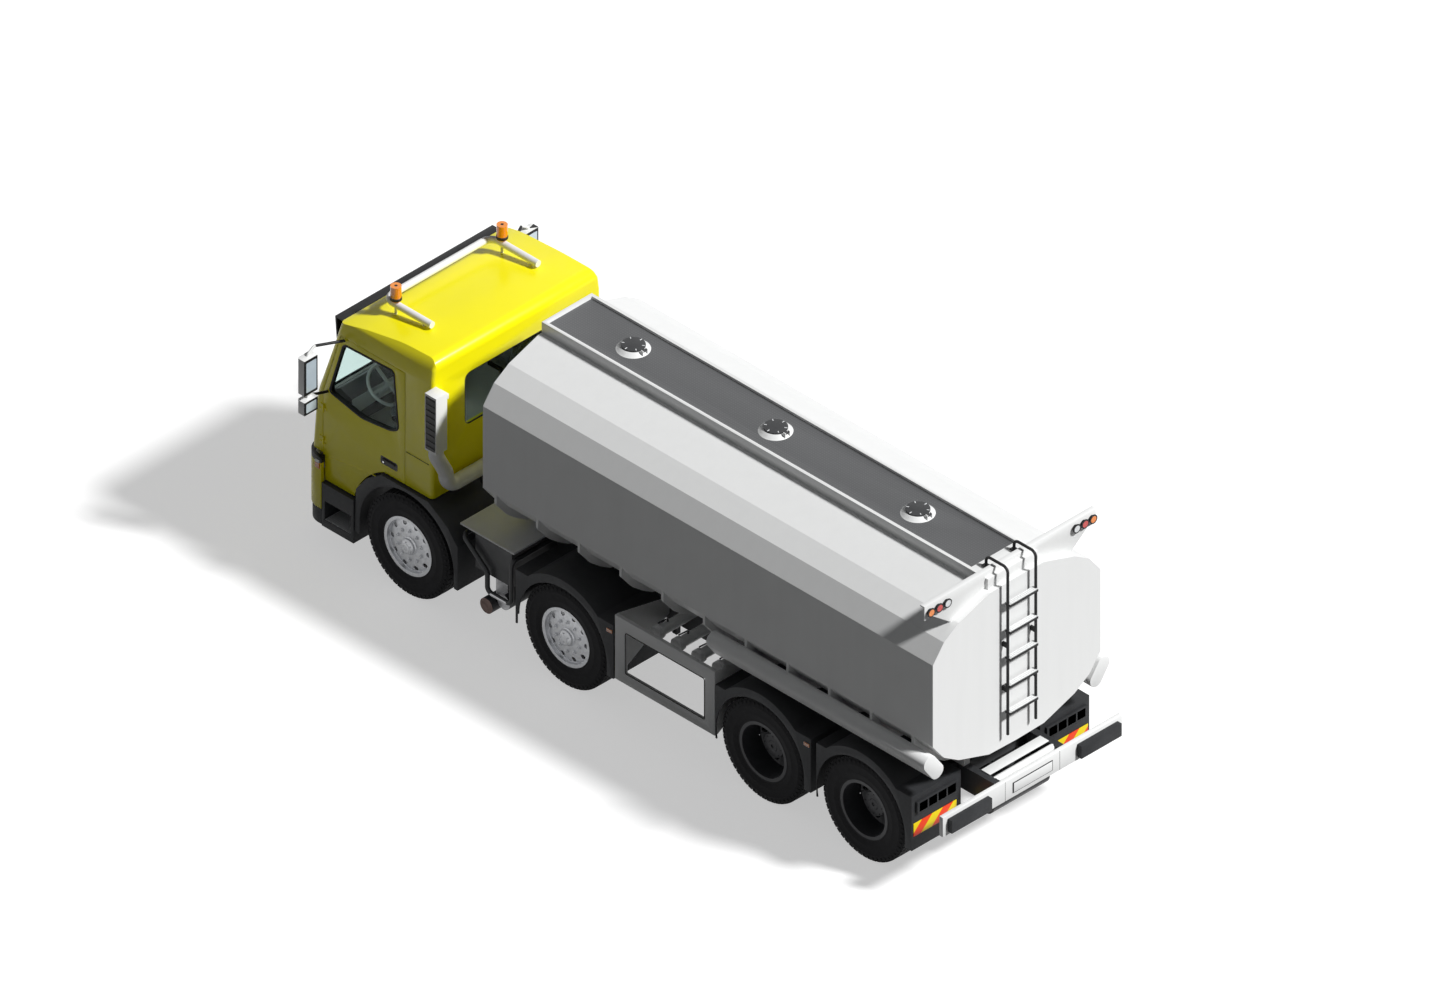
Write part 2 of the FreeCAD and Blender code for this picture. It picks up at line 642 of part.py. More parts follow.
def knuckle(name, forward, out):
    """Fork, kingpin, backing plate, spindle and steering arm of one steered wheel."""
    def across(low, high):
        return (low, high) if out > 0 else (-high, -low)

    kingpin = (forward, d.kingpin_side * out)
    eye_top = d.tyre_radius + d.eye_height / 2 + d.running_gap
    eye_bottom = d.tyre_radius - d.eye_height / 2 - d.running_gap
    plate = d.kingpin_side + d.eye_radius + d.running_gap
    plate_end = plate + d.backing_wall
    reach = across(d.kingpin_side, plate)
    width = (forward - d.eye_radius, forward + d.eye_radius)
    pieces = [
        rod(name + "_top_eye", "z", eye_top, eye_top + d.lug_height, d.eye_radius, kingpin),
        rod(name + "_low_eye", "z", eye_bottom - d.lug_height, eye_bottom, d.eye_radius, kingpin),
        rod(name + "_pin", "z", eye_bottom - d.lug_height, eye_top + d.lug_height,
            d.kingpin_radius, kingpin),
        block(name + "_top_lug", width, reach, (eye_top, eye_top + d.lug_height)),
        block(name + "_low_lug", width, reach, (eye_bottom - d.lug_height, eye_bottom)),
    ]
    low, high = across(plate, plate_end)
    pieces.append(rod(name + "_plate", "y", low, high, d.backing_radius, (forward, d.tyre_radius)))
    low, high = across(plate, wheel_middle + d.tyre_width / 2 - d.disc_setback - 2 * d.disc_wall)
    bore = d.hub_bore - d.pin_gap
    pieces.append(rod(name + "_spindle", "y", low, high, bore, (forward, d.tyre_radius)))
    arm_side = across(d.kingpin_side - d.eye_radius, d.kingpin_side)
    arm_height = (eye_bottom - d.lug_height, eye_bottom)
    pieces.append(block(name + "_arm", (forward - d.arm_length, forward), arm_side, arm_height))
    return fused(name, *pieces)


def leaf_spring(name, forward, side):
    """A stack of leaves on the beam, with a hanger at each end up to the rail."""
    low = d.beam_top
    high = d.beam_top + d.spring_stack
    seat = d.beam_width
    reach = d.spring_reach
    part = reach / 2
    leaf = d.spring_stack / 3
    corners = [
        (forward - seat, low),
        (forward + seat, low),
        (forward + part, low + d.spring_stack),
        (forward + reach, d.spring_eye),
        (forward + reach, d.spring_eye + leaf),
        (forward + part, high + d.spring_stack / 2),
        (forward + seat, high),
        (forward - seat, high),
        (forward - part, high + d.spring_stack / 2),
        (forward - reach, d.spring_eye + leaf),
        (forward - reach, d.spring_eye),
        (forward - part, low + d.spring_stack),
    ]
    low_side = side - d.spring_width / 2
    high_side = side + d.spring_width / 2
    pieces = [prism(name + "_leaves", "XZ", corners, low_side, high_side)]
    for end, sign in (("rear", -1), ("front", 1)):
        middle = forward + reach * sign
        pieces.append(block(
            f"{name}_{end}_hanger",
            (middle - d.hanger_length / 2, middle + d.hanger_length / 2),
            (side - d.spring_width / 2 + d.rail_wall, side + d.spring_width / 2 - d.rail_wall),
            (d.spring_eye - leaf, d.rail_top - d.rail_depth),
        ))
    return pieces


def steered_axle(name, forward):
    """A dropped beam with a kingpin eye at each end and its two leaf springs."""
    eye_low = d.tyre_radius - d.eye_height / 2
    eye_high = d.tyre_radius + d.eye_height / 2
    beam_end = d.kingpin_side - d.kingpin_radius - d.lid_pin
    knee = d.beam_drop_start
    rise = d.kingpin_side - d.beam_width * 3 / 2
    half = [
        (knee + d.beam_width / 2, d.beam_bottom),
        (rise, eye_low),
        (beam_end, eye_low),
        (beam_end, eye_high),
        (rise, eye_high),
        (knee, d.beam_top),
    ]
    corners = half + [(-side, height) for side, height in reversed(half)]
    low = forward - d.beam_width / 2
    pieces = [prism(name + "_beam", "YZ", corners, low, low + d.beam_width)]
    for side, out in SIDES.items():
        kingpin = (forward, d.kingpin_side * out)
        pieces.append(rod(f"{name}_{side}_eye", "z", eye_low, eye_high, d.eye_radius, kingpin))
        pieces += leaf_spring(f"{name}_{side}_spring", forward, d.spring_side * out)
    bores = []
    for side, out in SIDES.items():
        kingpin = (forward, d.kingpin_side * out)
        bore = d.kingpin_radius + d.pin_gap
        bores.append(rod(f"{name}_{side}_bore", "z", eye_low - d.overshoot, eye_high + d.overshoot,
                         bore, kingpin))
    return cut(name, fused(name + "_solid", *pieces), *bores)


def driven_axle(name, forward):
    """An axle tube with its differential, trailing arms and air springs."""
    end = twin_middle + d.axle_tube_end
    centre = (forward, d.tyre_radius)
    rail_bottom = d.rail_top - d.rail_depth
    bulge = [
        (0, -d.diff_half),
        (d.axle_tube_radius, -d.diff_half),
        (d.diff_radius, -d.diff_crown),
        (d.diff_radius, d.diff_crown),
        (d.axle_tube_radius, d.diff_half),
        (0, d.diff_half),
    ]
    pieces = [
        rod(name + "_tube", "y", -end, end, d.axle_tube_radius, centre),
        turned(name + "_differential", bulge, forward, 0, d.tyre_radius),
        cone(name + "_nose", "x", forward, forward + d.nose_length,
             (d.nose_radius, d.axle_tube_radius), (0, d.tyre_radius)),
    ]
    for side, out in SIDES.items():
        middle = d.bellows_side * out
        spot = (forward - d.bellows_offset, middle)
        pad_low = d.tyre_radius - d.axle_tube_radius / 2
        arm = (middle - d.trailing_half, middle + d.trailing_half)
        backing = twin_middle - d.rear_drum_depth
        low, high = sorted((backing * out, (backing + d.backing_wall) * out), key=lambda s: s.value)
        pieces += [
            rod(f"{name}_{side}_bellows", "z", pad_low, rail_bottom, d.bellows_radius, spot),
            block(f"{name}_{side}_arm", (forward - d.bellows_offset, forward + d.arm_reach), arm,
                  (pad_low, pad_low + d.axle_tube_radius)),
            block(f"{name}_{side}_hanger",
                  (forward + d.arm_reach - d.hanger_length, forward + d.arm_reach + d.hanger_length),
                  arm, (pad_low - d.rail_wall, rail_bottom)),
            rod(f"{name}_{side}_backing", "y", low, high, d.backing_radius, centre),
        ]
    return fused(name, *pieces)


def chassis_frame():
    """Two channel rails, their cross-members, the cab's rear posts and its front pivot pins."""
    bottom = d.rail_top - d.rail_depth
    wall = d.rail_wall
    channel = [
        (d.rail_inner, d.rail_top),
        (d.rail_outer, d.rail_top),
        (d.rail_outer, bottom),
        (d.rail_inner, bottom),
        (d.rail_inner, bottom + wall),
        (d.rail_outer - wall, bottom + wall),
        (d.rail_outer - wall, d.rail_top - wall),
        (d.rail_inner, d.rail_top - wall),
    ]
    left = prism("left_rail", "YZ", channel, d.rail_rear, d.rail_front)
    pieces = [left, mirrored("right_rail", left)]
    inside = d.rail_outer - wall
    middle = (d.rail_top + bottom) / 2
    low = middle - d.cross_depth / 2
    behind_fourth = (d.axle_fourth + d.rail_rear) / 2
    between_bogie = (d.axle_third + d.axle_fourth) / 2
    between_axles = (d.axle_second + d.axle_third) / 2
    places = {
        "tail": d.rail_rear + d.cross_width,
        "behind": behind_fourth,
        "bogie": between_bogie,
        "ahead_of_bogie": d.axle_third + d.tyre_radius + d.cross_width,
        "middle": between_axles + d.cross_width * 4,
        "second": d.axle_second + d.cross_width,
        "nose": d.rail_front - d.cross_width,
    }
    for place_name, forward in places.items():
        span = (forward - d.cross_width / 2, forward + d.cross_width / 2)
        pieces.append(block(place_name + "_cross", span, (-inside, inside), (low, low + d.cross_depth)))
    post = block(
        "cab_post",
        (d.cab_post_rear, d.cab_post_rear + d.cab_post_length),
        (d.rail_inner, d.rail_outer),
        (d.rail_top, d.cab_floor - d.rest_gap),
    )
    plate = block(
        "pivot_plate",
        (d.rail_front - d.cross_width, d.front_face - d.front_wall),
        (d.rail_outer - d.pivot_plate, d.rail_outer),
        (d.pivot_height - d.cross_width, d.pivot_height + d.cross_width),
    )
    pin_start = d.rail_inner - d.lug_wall - 2 * d.running_gap
    pin = rod("pivot_pin", "y", pin_start, d.rail_outer - d.pivot_plate, d.pivot_radius,
              (d.pivot_forward, d.pivot_height))
    for piece in (post, plate, pin):
        pieces += [piece, mirrored(piece.Name + "_other", piece)]
    return fused("chassis_frame", *pieces)


def driveline():
    """Gearbox behind the engine, and the shafts to the two driven axles."""
    nose = d.axle_third + d.nose_length
    gearbox = block(
        "gearbox",
        (d.gearbox_rear, d.engine_rear),
        (-d.gearbox_half, d.gearbox_half),
        (d.gearbox_bottom, d.gearbox_top),
    )
    centre = (0, d.tyre_radius + d.shaft_radius)
    shaft = rod("main_shaft", "x", nose, d.gearbox_rear, d.shaft_radius, centre)
    link = rod("bogie_shaft", "x", d.axle_fourth + d.nose_length, d.axle_third - d.diff_radius,
               d.shaft_radius, (0, d.tyre_radius))
    front = fused("front_driveline", gearbox, shaft)
    return grouped("driveline", front, link)


def tank_section():
    """Corners of the tank's faceted section, from the bottom middle round to the left."""
    rises = [
        (d.fold_third_side, d.fold_third_rise),
        (d.fold_second_side, d.fold_second_rise),
        (d.fold_first_side, d.fold_first_rise),
    ]
    low = [(side, d.tank_side_bottom - rise) for side, rise in rises]
    high = [(side, d.tank_side_top + rise) for side, rise in reversed(rises)]
    left = low + [(d.tank_half, d.tank_side_bottom), (d.tank_half, d.tank_side_top)] + high
    right = [(-side, height) for side, height in reversed(left)]
    return [(0, d.tank_side_bottom - d.crown_rise)] + left + [(0, d.tank_side_top + d.crown_rise)] + right


def cradles(tank):
    """Plates that carry the tank, on two runners along the rails."""
    left = [
        (d.cradle_foot_side, d.cradle_foot),
        (d.cradle_hip_side, d.cradle_hip),
        (d.cradle_knee_side, d.cradle_knee),
        (d.tank_half, d.tank_side_bottom - d.cradle_lip),
        (d.tank_half, d.tank_side_bottom),
    ]
    foot = d.rail_outer
    corners = [(foot, d.runner_top)] + left + [(-side, height) for side, height in reversed(left)]
    corners.append((-foot, d.runner_top))
    plates = []
    for index in range(int(d.cradle_count.value)):
        middle = d.cradle_first - d.cradle_pitch * index
        plates.append(prism(f"cradle_{index + 1}", "YZ", corners, middle - d.cradle_wall / 2,
                            middle + d.cradle_wall / 2))
    notches = [
        rod(f"notch_{axle}", "y", -d.guard_outer, d.guard_outer, d.guard_arch + d.running_gap,
            (AXES[axle], d.tyre_radius))
        for axle in ("second", "third", "fourth")
    ]
    tubes = hose_form("cradle_hose_room", d.overshoot)
    plates_only = cut("cradle_plates", fused("cradle_blanks", *plates), tank, tubes,
                      mirrored("other_hose_room", tubes), *notches)
    last = d.cradle_first - d.cradle_pitch * (d.cradle_count - 1)
    runner = block("runner", (last - d.cradle_wall, d.tank_front), (d.rail_inner, d.rail_outer),
                   (d.rail_top, d.runner_top))
    return fused("tank_cradles", plates_only, runner, mirrored("other_runner", runner))


def walkway(tank):
    """Coaming along the tank's top, with its floor and the three manhole necks."""
    half = d.walkway_half
    rim = d.walkway_rim
    blank = block("walkway_blank", (d.walkway_rear, d.tank_front), (-half, half),
                  (d.tank_side_top + d.fold_third_rise - rim, d.walkway_top))
    recess = block("walkway_recess", (d.platform_front, d.tank_front - rim), (rim - half, half - rim),
                   (d.walkway_floor, d.walkway_top + rim))
    pieces = [cut("walkway_tray", blank, recess, tank)]
    for index in (-1, 0, 1):
        middle = d.lid_middle + d.lid_pitch * index
        name = f"neck_{index + 2}"
        high = d.walkway_floor + d.neck_height
        hinge = middle - d.lid_hinge
        pieces.append(cone(name, "z", d.walkway_floor, high, (d.neck_base, d.neck_top), (middle, 0)))
        for side, out in SIDES.items():
            inner = d.lid_half + d.running_gap
            outer = inner + d.lid_pin
            low, high_side = (inner, outer) if out > 0 else (-outer, -inner)
            pieces.append(block(f"{name}_{side}_lug", (hinge - d.lid_pin * 1.5, hinge + d.lid_pin * 1.5),
                                (low, high_side), (d.walkway_floor, high + d.lid_wall + d.lid_pin)))
        pin = rod(f"{name}_pin", "y", -d.lid_half - d.running_gap * 2, d.lid_half + d.running_gap * 2,
                  d.lid_pin / 2, (hinge, high + d.lid_wall / 2))
        pieces.append(pin)
    return fused("walkway", *pieces)


def manhole_lid(name, middle):
    """A round lid on its neck, with a barrel on the hinge pin."""
    low = d.walkway_floor + d.neck_height + d.rest_gap
    high = low + d.lid_wall
    hinge = middle - d.lid_hinge
    pivot = (hinge, d.walkway_floor + d.neck_height + d.lid_wall / 2)
    disc = rod(name + "_disc", "z", low, high, d.lid_radius, (middle, 0))
    strap = block(name + "_strap", (hinge, middle), (-d.lid_half, d.lid_half),
                  (low + d.lid_pin / 2, high))
    barrel = rod(name + "_barrel", "y", -d.lid_half, d.lid_half, d.lid_pin, pivot)
    bore = rod(name + "_bore", "y", -d.lid_half * 2, d.lid_half * 2, d.lid_pin / 2 + d.pin_gap, pivot)
    return cut(name, fused(name + "_solid", disc, strap, barrel), bore)


def ladder():
    """Two rails bent over the tank's rear edge, with steps and stand-offs."""
    pieces = []
    reach = d.ladder_back + d.ladder_reach
    for side, out in SIDES.items():
        across = d.ladder_half * out
        pieces.append(bent_tube(f"ladder_{side}_rail", d.ladder_rail, d.ladder_bend, [
            (d.ladder_back, across, d.ladder_bottom),
            (d.ladder_back, across, d.ladder_top - d.ladder_rail),
            (reach, across, d.ladder_top - d.ladder_rail),
            (reach, across, d.walkway_top),
        ]))
        for height in (d.standoff_low, d.standoff_high):
            pieces.append(block(
                f"{side}_standoff_{int(height.value)}",
                (d.ladder_back, d.tank_rear),
                (across - d.standoff_wall / 2, across + d.standoff_wall / 2),
                (height - d.standoff_wall, height + d.standoff_wall),
            ))
        pieces.append(block(f"ladder_{side}_foot", (reach - d.step_depth / 2, reach + d.step_depth / 2),
                            (across - d.step_wall, across + d.step_wall),
                            (d.walkway_top, d.walkway_top + d.step_wall / 3)))
    for index in range(int(d.step_count.value)):
        height = d.step_first + d.step_pitch * index
        pieces.append(block(
            f"ladder_step_{index + 1}",
            (d.ladder_back - d.step_depth / 2, d.ladder_back + d.step_depth / 2),
            (-d.ladder_half, d.ladder_half),
            (height - d.step_wall / 2, height + d.step_wall / 2),
        ))
    return fused("ladder", *pieces)


def light_bar(tank, tray):
    """Angle across the rear of the tank's top, on gusset plates."""
    front = d.bar_rear + d.bar_wall
    half = d.bar_half
    face = block("bar_face", (d.bar_rear, front), (-half, half), (d.bar_bottom, d.bar_top))
    lip = block("bar_lip", (d.bar_rear, d.bar_rear + d.bar_lip), (-half, half),
                (d.bar_top - d.bar_wall, d.bar_top))
    fold_height = d.tank_side_top + d.fold_second_rise
    corners = [
        (d.walkway_half, d.bar_bottom),
        (d.walkway_half, d.tank_side_top + d.fold_third_rise - d.walkway_rim),
        (d.fold_second_side, fold_height - d.walkway_rim),
        (d.gusset_outer, d.bar_bottom),
    ]
    gusset = prism("bar_gusset", "YZ", corners, d.bar_rear, d.bar_rear + d.gusset_wall)
    gussets = cut("bar_gussets", fused("gusset_pair", gusset, mirrored("other_gusset", gusset)), tank)
    return cut("light_bar", fused("bar_and_gussets", face, lip, gussets), tray)


def hose_form(name, gap):
    """The left carrying tube's oval form, grown by a gap."""
    cos_lean = cosine(d.hose_lean)
    sin_lean = sine(d.hose_lean)
    corners = []
    for along, over in ((1, 1), (-1, 1), (-1, -1), (1, -1)):
        reach = (d.hose_long / 2 + gap) * along
        rise = (d.hose_short / 2 + gap) * over
        corners.append((
            d.hose_side + reach * cos_lean - rise * sin_lean,
            d.hose_height + reach * sin_lean + rise * cos_lean,
            d.hose_round + gap,
        ))
    return prism(name, "YZ", corners, d.hose_rear - gap, d.hose_front + gap)


def hose_tubes(tank):
    """An oval carrying tube along each side below the tank."""
    return both_sides("hose_tubes", cut("left_hose_tube", hose_form("hose_tube", as_size(0)), tank))


def side_frame():
    """Open frame of the left cabinet, with a tapered plate at each end."""
    corners = [
        (d.frame_rear, d.frame_bottom),
        (d.frame_front, d.frame_bottom),
        (d.frame_front, d.frame_top),
        (d.frame_rear, d.frame_top),
    ]
    rear = d.frame_rear + d.frame_post
    front = d.frame_front - d.frame_post
    opening = [(rear, d.frame_sill), (front, d.frame_sill), (front, d.frame_head), (rear, d.frame_head)]
    inner = d.frame_side - d.frame_wall
    pieces = [prism("frame_face", "XZ", corners, inner, d.frame_side, [opening])]
    plate = [
        (inner, d.frame_bottom),
        (inner, d.frame_top),
        (d.rail_outer, d.rail_top),
        (d.rail_outer, d.plate_toe),
    ]
    for name, low in (("rear", d.frame_rear), ("front", d.frame_front - d.end_plate)):
        pieces.append(prism(name + "_end_plate", "YZ", plate, low, low + d.end_plate))
    return fused("side_frame", *pieces)


def pipework():
    """Discharge pipes out to the couplings behind the cabinet's frame."""
    pieces = []
    for index in range(int(d.pipe_count.value)):
        forward = d.pipe_first - d.pipe_pitch * index
        centre = (forward, d.pipe_height)
        name = f"pipe_{index + 1}"
        pipe = rod(name, "y", d.rail_outer, d.pipe_end, d.pipe_radius, centre)
        coupling = rod(name + "_coupling", "y", d.pipe_end - d.coupling_length, d.pipe_end,
                       d.coupling_radius, centre)
        pieces.append(fused(name + "_solid", pipe, coupling))
    return grouped("pipework", *pieces)


def deck_and_box():
    """Step plate behind the cab, the box below it and the tube that guards it."""
    deck = prism("deck", "XY", [
        (d.deck_rear, d.deck_inner),
        (d.tank_front, d.deck_inner),
        (d.tank_front, -d.rail_outer),
        (d.deck_front, -d.rail_outer),
        (d.deck_front, d.deck_side),
        (d.deck_rear, d.deck_side),
    ], d.deck_top - d.deck_wall, d.deck_top)
    box = block("battery_box", (d.battery_rear, d.battery_front), (d.battery_inner, d.battery_side),
                (d.battery_bottom, d.deck_top - d.deck_wall))
    bracket = block("battery_bracket", (d.battery_rear, d.battery_front),
                    (d.rail_outer, d.battery_inner), (d.rail_top - d.rail_depth, d.runner_top - d.rest_gap))
    posts = []
    for side, low in (("left", d.rail_inner), ("right", -d.rail_outer)):
        for end, start in (("rear", d.tank_front), ("front", d.deck_front - d.hanger_length)):
            posts.append(block(f"deck_{side}_{end}_post", (start, start + d.hanger_length),
                               (low, low + d.rail_outer - d.rail_inner),
                               (d.rail_top, d.deck_top - d.deck_wall)))
    side = d.deck_side - d.guard_tube
    tube = bent_tube("guard_tube", d.guard_tube, d.guard_bend, [
        (d.guard_rear, d.rail_outer, d.guard_high),
        (d.guard_rear, side, d.guard_high),
        (d.guard_rear, side, d.guard_low),
        (d.guard_middle, side, d.guard_low),
        (d.guard_middle, side, d.guard_step),
        (d.guard_front, side, d.guard_high),
        (d.guard_front, d.rail_outer, d.guard_high),
    ])
    return fused("deck_and_box", deck, box, bracket, tube, *posts)


def air_tanks():
    """Two air tanks hung below the battery box, and one across behind the last axle."""
    front_tanks = [
        rod("low_air_tank", "y", d.battery_inner, d.deck_side, d.air_tank_radius,
            (d.air_tank_forward, d.air_tank_height)),
        rod("high_air_tank", "y", d.battery_inner, d.battery_side, d.air_tank_radius,
            (d.air_tank_rear, d.air_tank_upper)),
    ]
    for name, side in (("inner", d.battery_inner + d.cross_width), ("outer", d.battery_side - d.cross_width)):
        front_tanks.append(block(f"{name}_strap", (d.air_tank_rear, d.air_tank_forward),
                                 (side - d.flange_wall, side + d.flange_wall),
                                 (d.air_tank_height, d.battery_bottom)))
    rear = [rod("rear_air_tank", "y", -d.rear_tank_half, d.rear_tank_half, d.rear_tank_radius,
                (d.rear_tank_back, d.rear_tank_height))]
    for name, sign in (("left", 1), ("right", -1)):
        side = d.rear_tank_half / 2 * sign
        rear.append(block(f"{name}_rear_strap", (d.rear_tank_back - d.flange_wall * 2,
                                                 d.rear_tank_back + d.flange_wall * 2),
                          (side - d.flange_wall, side + d.flange_wall),
                          (d.rear_tank_height, d.rail_top - d.rail_depth / 2 - d.cross_depth / 2)))
    beam_low = d.rail_top - d.rail_depth / 2 - d.cross_depth / 2
    rear.append(block("tank_beam", (d.rear_tank_back - d.cross_width, d.rear_tank_back + d.cross_width),
                      (d.rail_wall - d.rail_outer, d.rail_outer - d.rail_wall),
                      (beam_low, beam_low + d.rail_wall * 2)))
    return grouped("air_tanks", fused("front_air_tanks", *front_tanks), fused("rear_tank", *rear))


def fuel_tank():
    """Fuel tank on the right side, on two brackets."""
    outer = -d.fuel_outer
    inner = -d.fuel_inner
    corners = [
        (outer, d.fuel_bottom, d.fuel_round),
        (inner, d.fuel_bottom, d.fuel_round),
        (inner, d.fuel_top, d.fuel_round),
        (outer, d.fuel_top, d.fuel_round),
    ]
    pieces = [prism("fuel_shell", "YZ", corners, d.fuel_rear, d.fuel_front)]
    for name, middle in (("rear", d.fuel_bracket_rear), ("front", d.fuel_bracket_front)):
        pieces.append(block(f"fuel_{name}_bracket", (middle - d.cross_width / 2, middle + d.cross_width / 2),
                            (inner, -d.rail_outer), (d.rail_top - d.rail_depth, d.rail_top - d.cross_width)))
    return fused("fuel_tank", *pieces)


def exhaust_box():
    """Silencer box on the right side, hung from the rail."""
    corners = [
        (-d.box_outer, d.box_bottom, d.box_round),
        (-d.box_inner, d.box_bottom, d.box_round),
        (-d.box_inner, d.box_top, d.box_round),
        (-d.box_outer, d.box_top, d.box_round),
    ]
    shell = prism("silencer", "YZ", corners, d.box_rear, d.box_front)
    bracket = block("silencer_bracket", (d.box_rear + d.cross_width, d.box_front - d.cross_width),
                    (-d.box_inner, -d.rail_outer), (d.rail_top - d.rail_depth, d.rail_top - d.cross_width))
    outlet = rod("tail_pipe", "x", d.box_rear - d.cross_width * 2, d.box_rear, d.shaft_radius,
                 (-d.box_inner - d.cross_depth, d.box_bottom + d.cross_depth))
    return fused("exhaust_box", shell, bracket, outlet)


def rear_bumper():
    """Beam across the rear, on plates behind the rails."""
    front = d.bumper_rear + d.bumper_wall
    beam = block("bumper_beam", (d.bumper_rear, front), (-d.bumper_half, d.bumper_half),
                 (d.bumper_bottom, d.bumper_top))
    return beam


def lamps():
    """Lamp clusters of the rear bumper and mudguards, round lamps of the light bar, headlamps."""
    middle = (d.bumper_bottom + d.bumper_top) / 2
    cluster = block("bumper_cluster", (d.bumper_rear - d.cluster_depth, d.bumper_rear),
                    (d.cluster_inner, d.cluster_outer),
                    (middle - d.cluster_height / 2, middle + d.cluster_height / 2))
    pieces = [cluster]
    behind = d.axle_fourth - d.guard_behind
    pieces.append(block("guard_cluster", (behind - d.marker_size / 2, behind),
                        (d.cluster_inner, d.cluster_outer), (d.guard_lamp_low, d.guard_lamp_high)))
    for index in range(3):
        side = d.bar_lamp_side - d.bar_lamp_pitch * index
        pieces.append(rod(f"bar_lamp_{index + 1}", "x", d.bar_rear - d.bar_lamp_depth, d.bar_rear,
                          d.bar_lamp_radius, (side, (d.bar_bottom + d.bar_top) / 2)))
    pieces.append(block("headlamp", (d.front_face - d.front_wall, d.front_face + d.overshoot),
                        (d.headlamp_inner, d.headlamp_outer), (d.headlamp_bottom, d.headlamp_top)))
    left = grouped("left_lamps", *pieces)
    return both_sides("lamps", left)


def wheel_guard(name, forward, ahead):
    """Mudguard over one wheel: an arch on two shelves, with a valance on its outer side."""
    low_side = d.guard_inner
    high_side = d.guard_outer
    wall = d.guard_wall
    centre = (forward, d.tyre_radius)
    outer_box = block(name + "_outer_box", (forward - d.guard_behind, forward + ahead),
                      (low_side, high_side), (d.guard_foot, d.guard_shelf))
    outer_arch = rod(name + "_outer_arch", "y", low_side, high_side, d.guard_arch, centre)
    under = block(name + "_under", (forward - d.guard_arch - wall, forward + d.guard_arch + wall),
                  (low_side - wall, high_side + wall), (d.tyre_radius - d.guard_arch - wall, d.guard_foot))
    inner_box = block(name + "_inner_box", (forward - d.guard_behind + wall, forward + ahead - wall),
                      (low_side - wall, high_side - wall), (d.guard_foot - wall, d.guard_shelf - wall))
    inner_arch = rod(name + "_inner_arch", "y", low_side - wall, high_side - wall,
                     d.guard_arch - wall, centre)
    opening = rod(name + "_opening", "y", low_side - wall, high_side + wall, d.guard_opening, centre)
    legs = block(name + "_leg_room", (forward - d.guard_opening, forward + ahead - wall - d.running_gap),
                 (low_side - wall, high_side + wall), (d.guard_foot - wall, d.tyre_radius))
    sides = block(name + "_sides", (forward - d.guard_behind, forward + ahead), (low_side, high_side),
                  (d.guard_foot, d.tyre_radius + d.guard_arch + wall))
    solid = shared(name + "_solid", fused(name + "_form", outer_box, outer_arch), sides)
    shell = cut(name + "_shell", solid, inner_box, inner_arch, opening, legs, under)
    height = d.guard_shelf - wall - d.guard_stay
    pieces = [shell]
    for end, sign in (("rear", -1), ("front", 1)):
        pieces.append(rod(f"{name}_{end}_stay", "y", d.rail_outer, high_side - wall, d.guard_stay,
                          (forward + d.stay_ahead * sign, height)))
    return fused(name, *pieces)


def front_fender():
    """Mudguard of the front wheel, between the cab's wheel arch and the tyre."""
    axle = d.axle_first
    corners = [
        (d.fender_back, d.fender_foot),
        (d.fender_back, d.fender_knee),
        (axle - d.fender_shoulder_back, d.fender_shoulder),
        (axle - d.fender_top_back, d.fender_top),
        (axle + d.fender_top_ahead, d.fender_top),
        (axle + d.fender_brow_ahead, d.fender_brow),
        (axle + d.fender_nose_ahead, d.fender_nose),
        (axle + d.fender_toe_ahead, d.fender_foot),
    ]
    blank = prism("fender_blank", "XZ", corners, d.guard_inner, d.fender_outer)
    arch = rod("fender_arch", "y", d.guard_inner - d.guard_wall, d.fender_outer + d.guard_wall,
               d.fender_arch, (axle, d.tyre_radius))
    hollow = block("fender_hollow", (axle - d.fender_arch, axle + d.fender_arch),
                   (d.guard_inner - d.guard_wall, d.fender_outer + d.guard_wall),
                   (d.fender_foot - d.guard_wall, d.tyre_radius))
    shell = cut("fender_shell", blank, arch, hollow)
    stay = rod("fender_stay", "y", d.rail_outer, d.guard_inner, d.guard_stay,
               (axle - d.fender_stay_back, d.fender_stay))
    return fused("left_fender", shell, stay)


def mudguards():
    """Mudguards of all four axles on one side."""
    pieces = [
        wheel_guard("second_guard", d.axle_second, d.guard_ahead_steered),
        wheel_guard("third_guard", d.axle_third, d.guard_ahead),
        wheel_guard("fourth_guard", d.axle_fourth, d.guard_ahead),
        front_fender(),
    ]
    return grouped("left_mudguards", *pieces)


def cab_form(name, inset):
    """The cab's outer form, drawn in by an inset, from plan outlines lofted straight up."""
    body = doc.addObject("PartDesign::Body", name)
    levels = [
        (d.cab_bottom - d.rear_round, d.front_low, d.cab_half),
        (d.front_lip, d.front_low, d.cab_half),
        (d.waist_height, d.front_waist, d.cab_half),
        (d.sill_height, d.front_sill, d.cab_half),
        (d.head_height, d.front_head, d.head_half),
        (d.brow_height, d.front_brow, d.brow_half),
        (d.crown_height, d.front_brow - d.roof_round / 3, d.crown_half),
        (d.roof_height, d.front_brow - d.roof_round, d.roof_half),
    ]
    sections = []
    for index, (height, front, half) in enumerate(levels):
        sketch = new_sketch(body, "XY", f"{name}_level_{index + 1}", height)
        rear = d.cab_rear + inset
        draw_outline(sketch, [
            (rear, inset - half, d.rear_round),
            (front - inset, inset - half, d.front_round - inset),
            (front - inset, half - inset, d.front_round - inset),
            (rear, half - inset, d.rear_round),
        ])
        sections.append(sketch)
    loft = body.newObject("PartDesign::AdditiveLoft", name + "_loft")
    loft.Profile = sections[0]
    loft.Sections = sections[1:]
    loft.Ruled = True
    return body


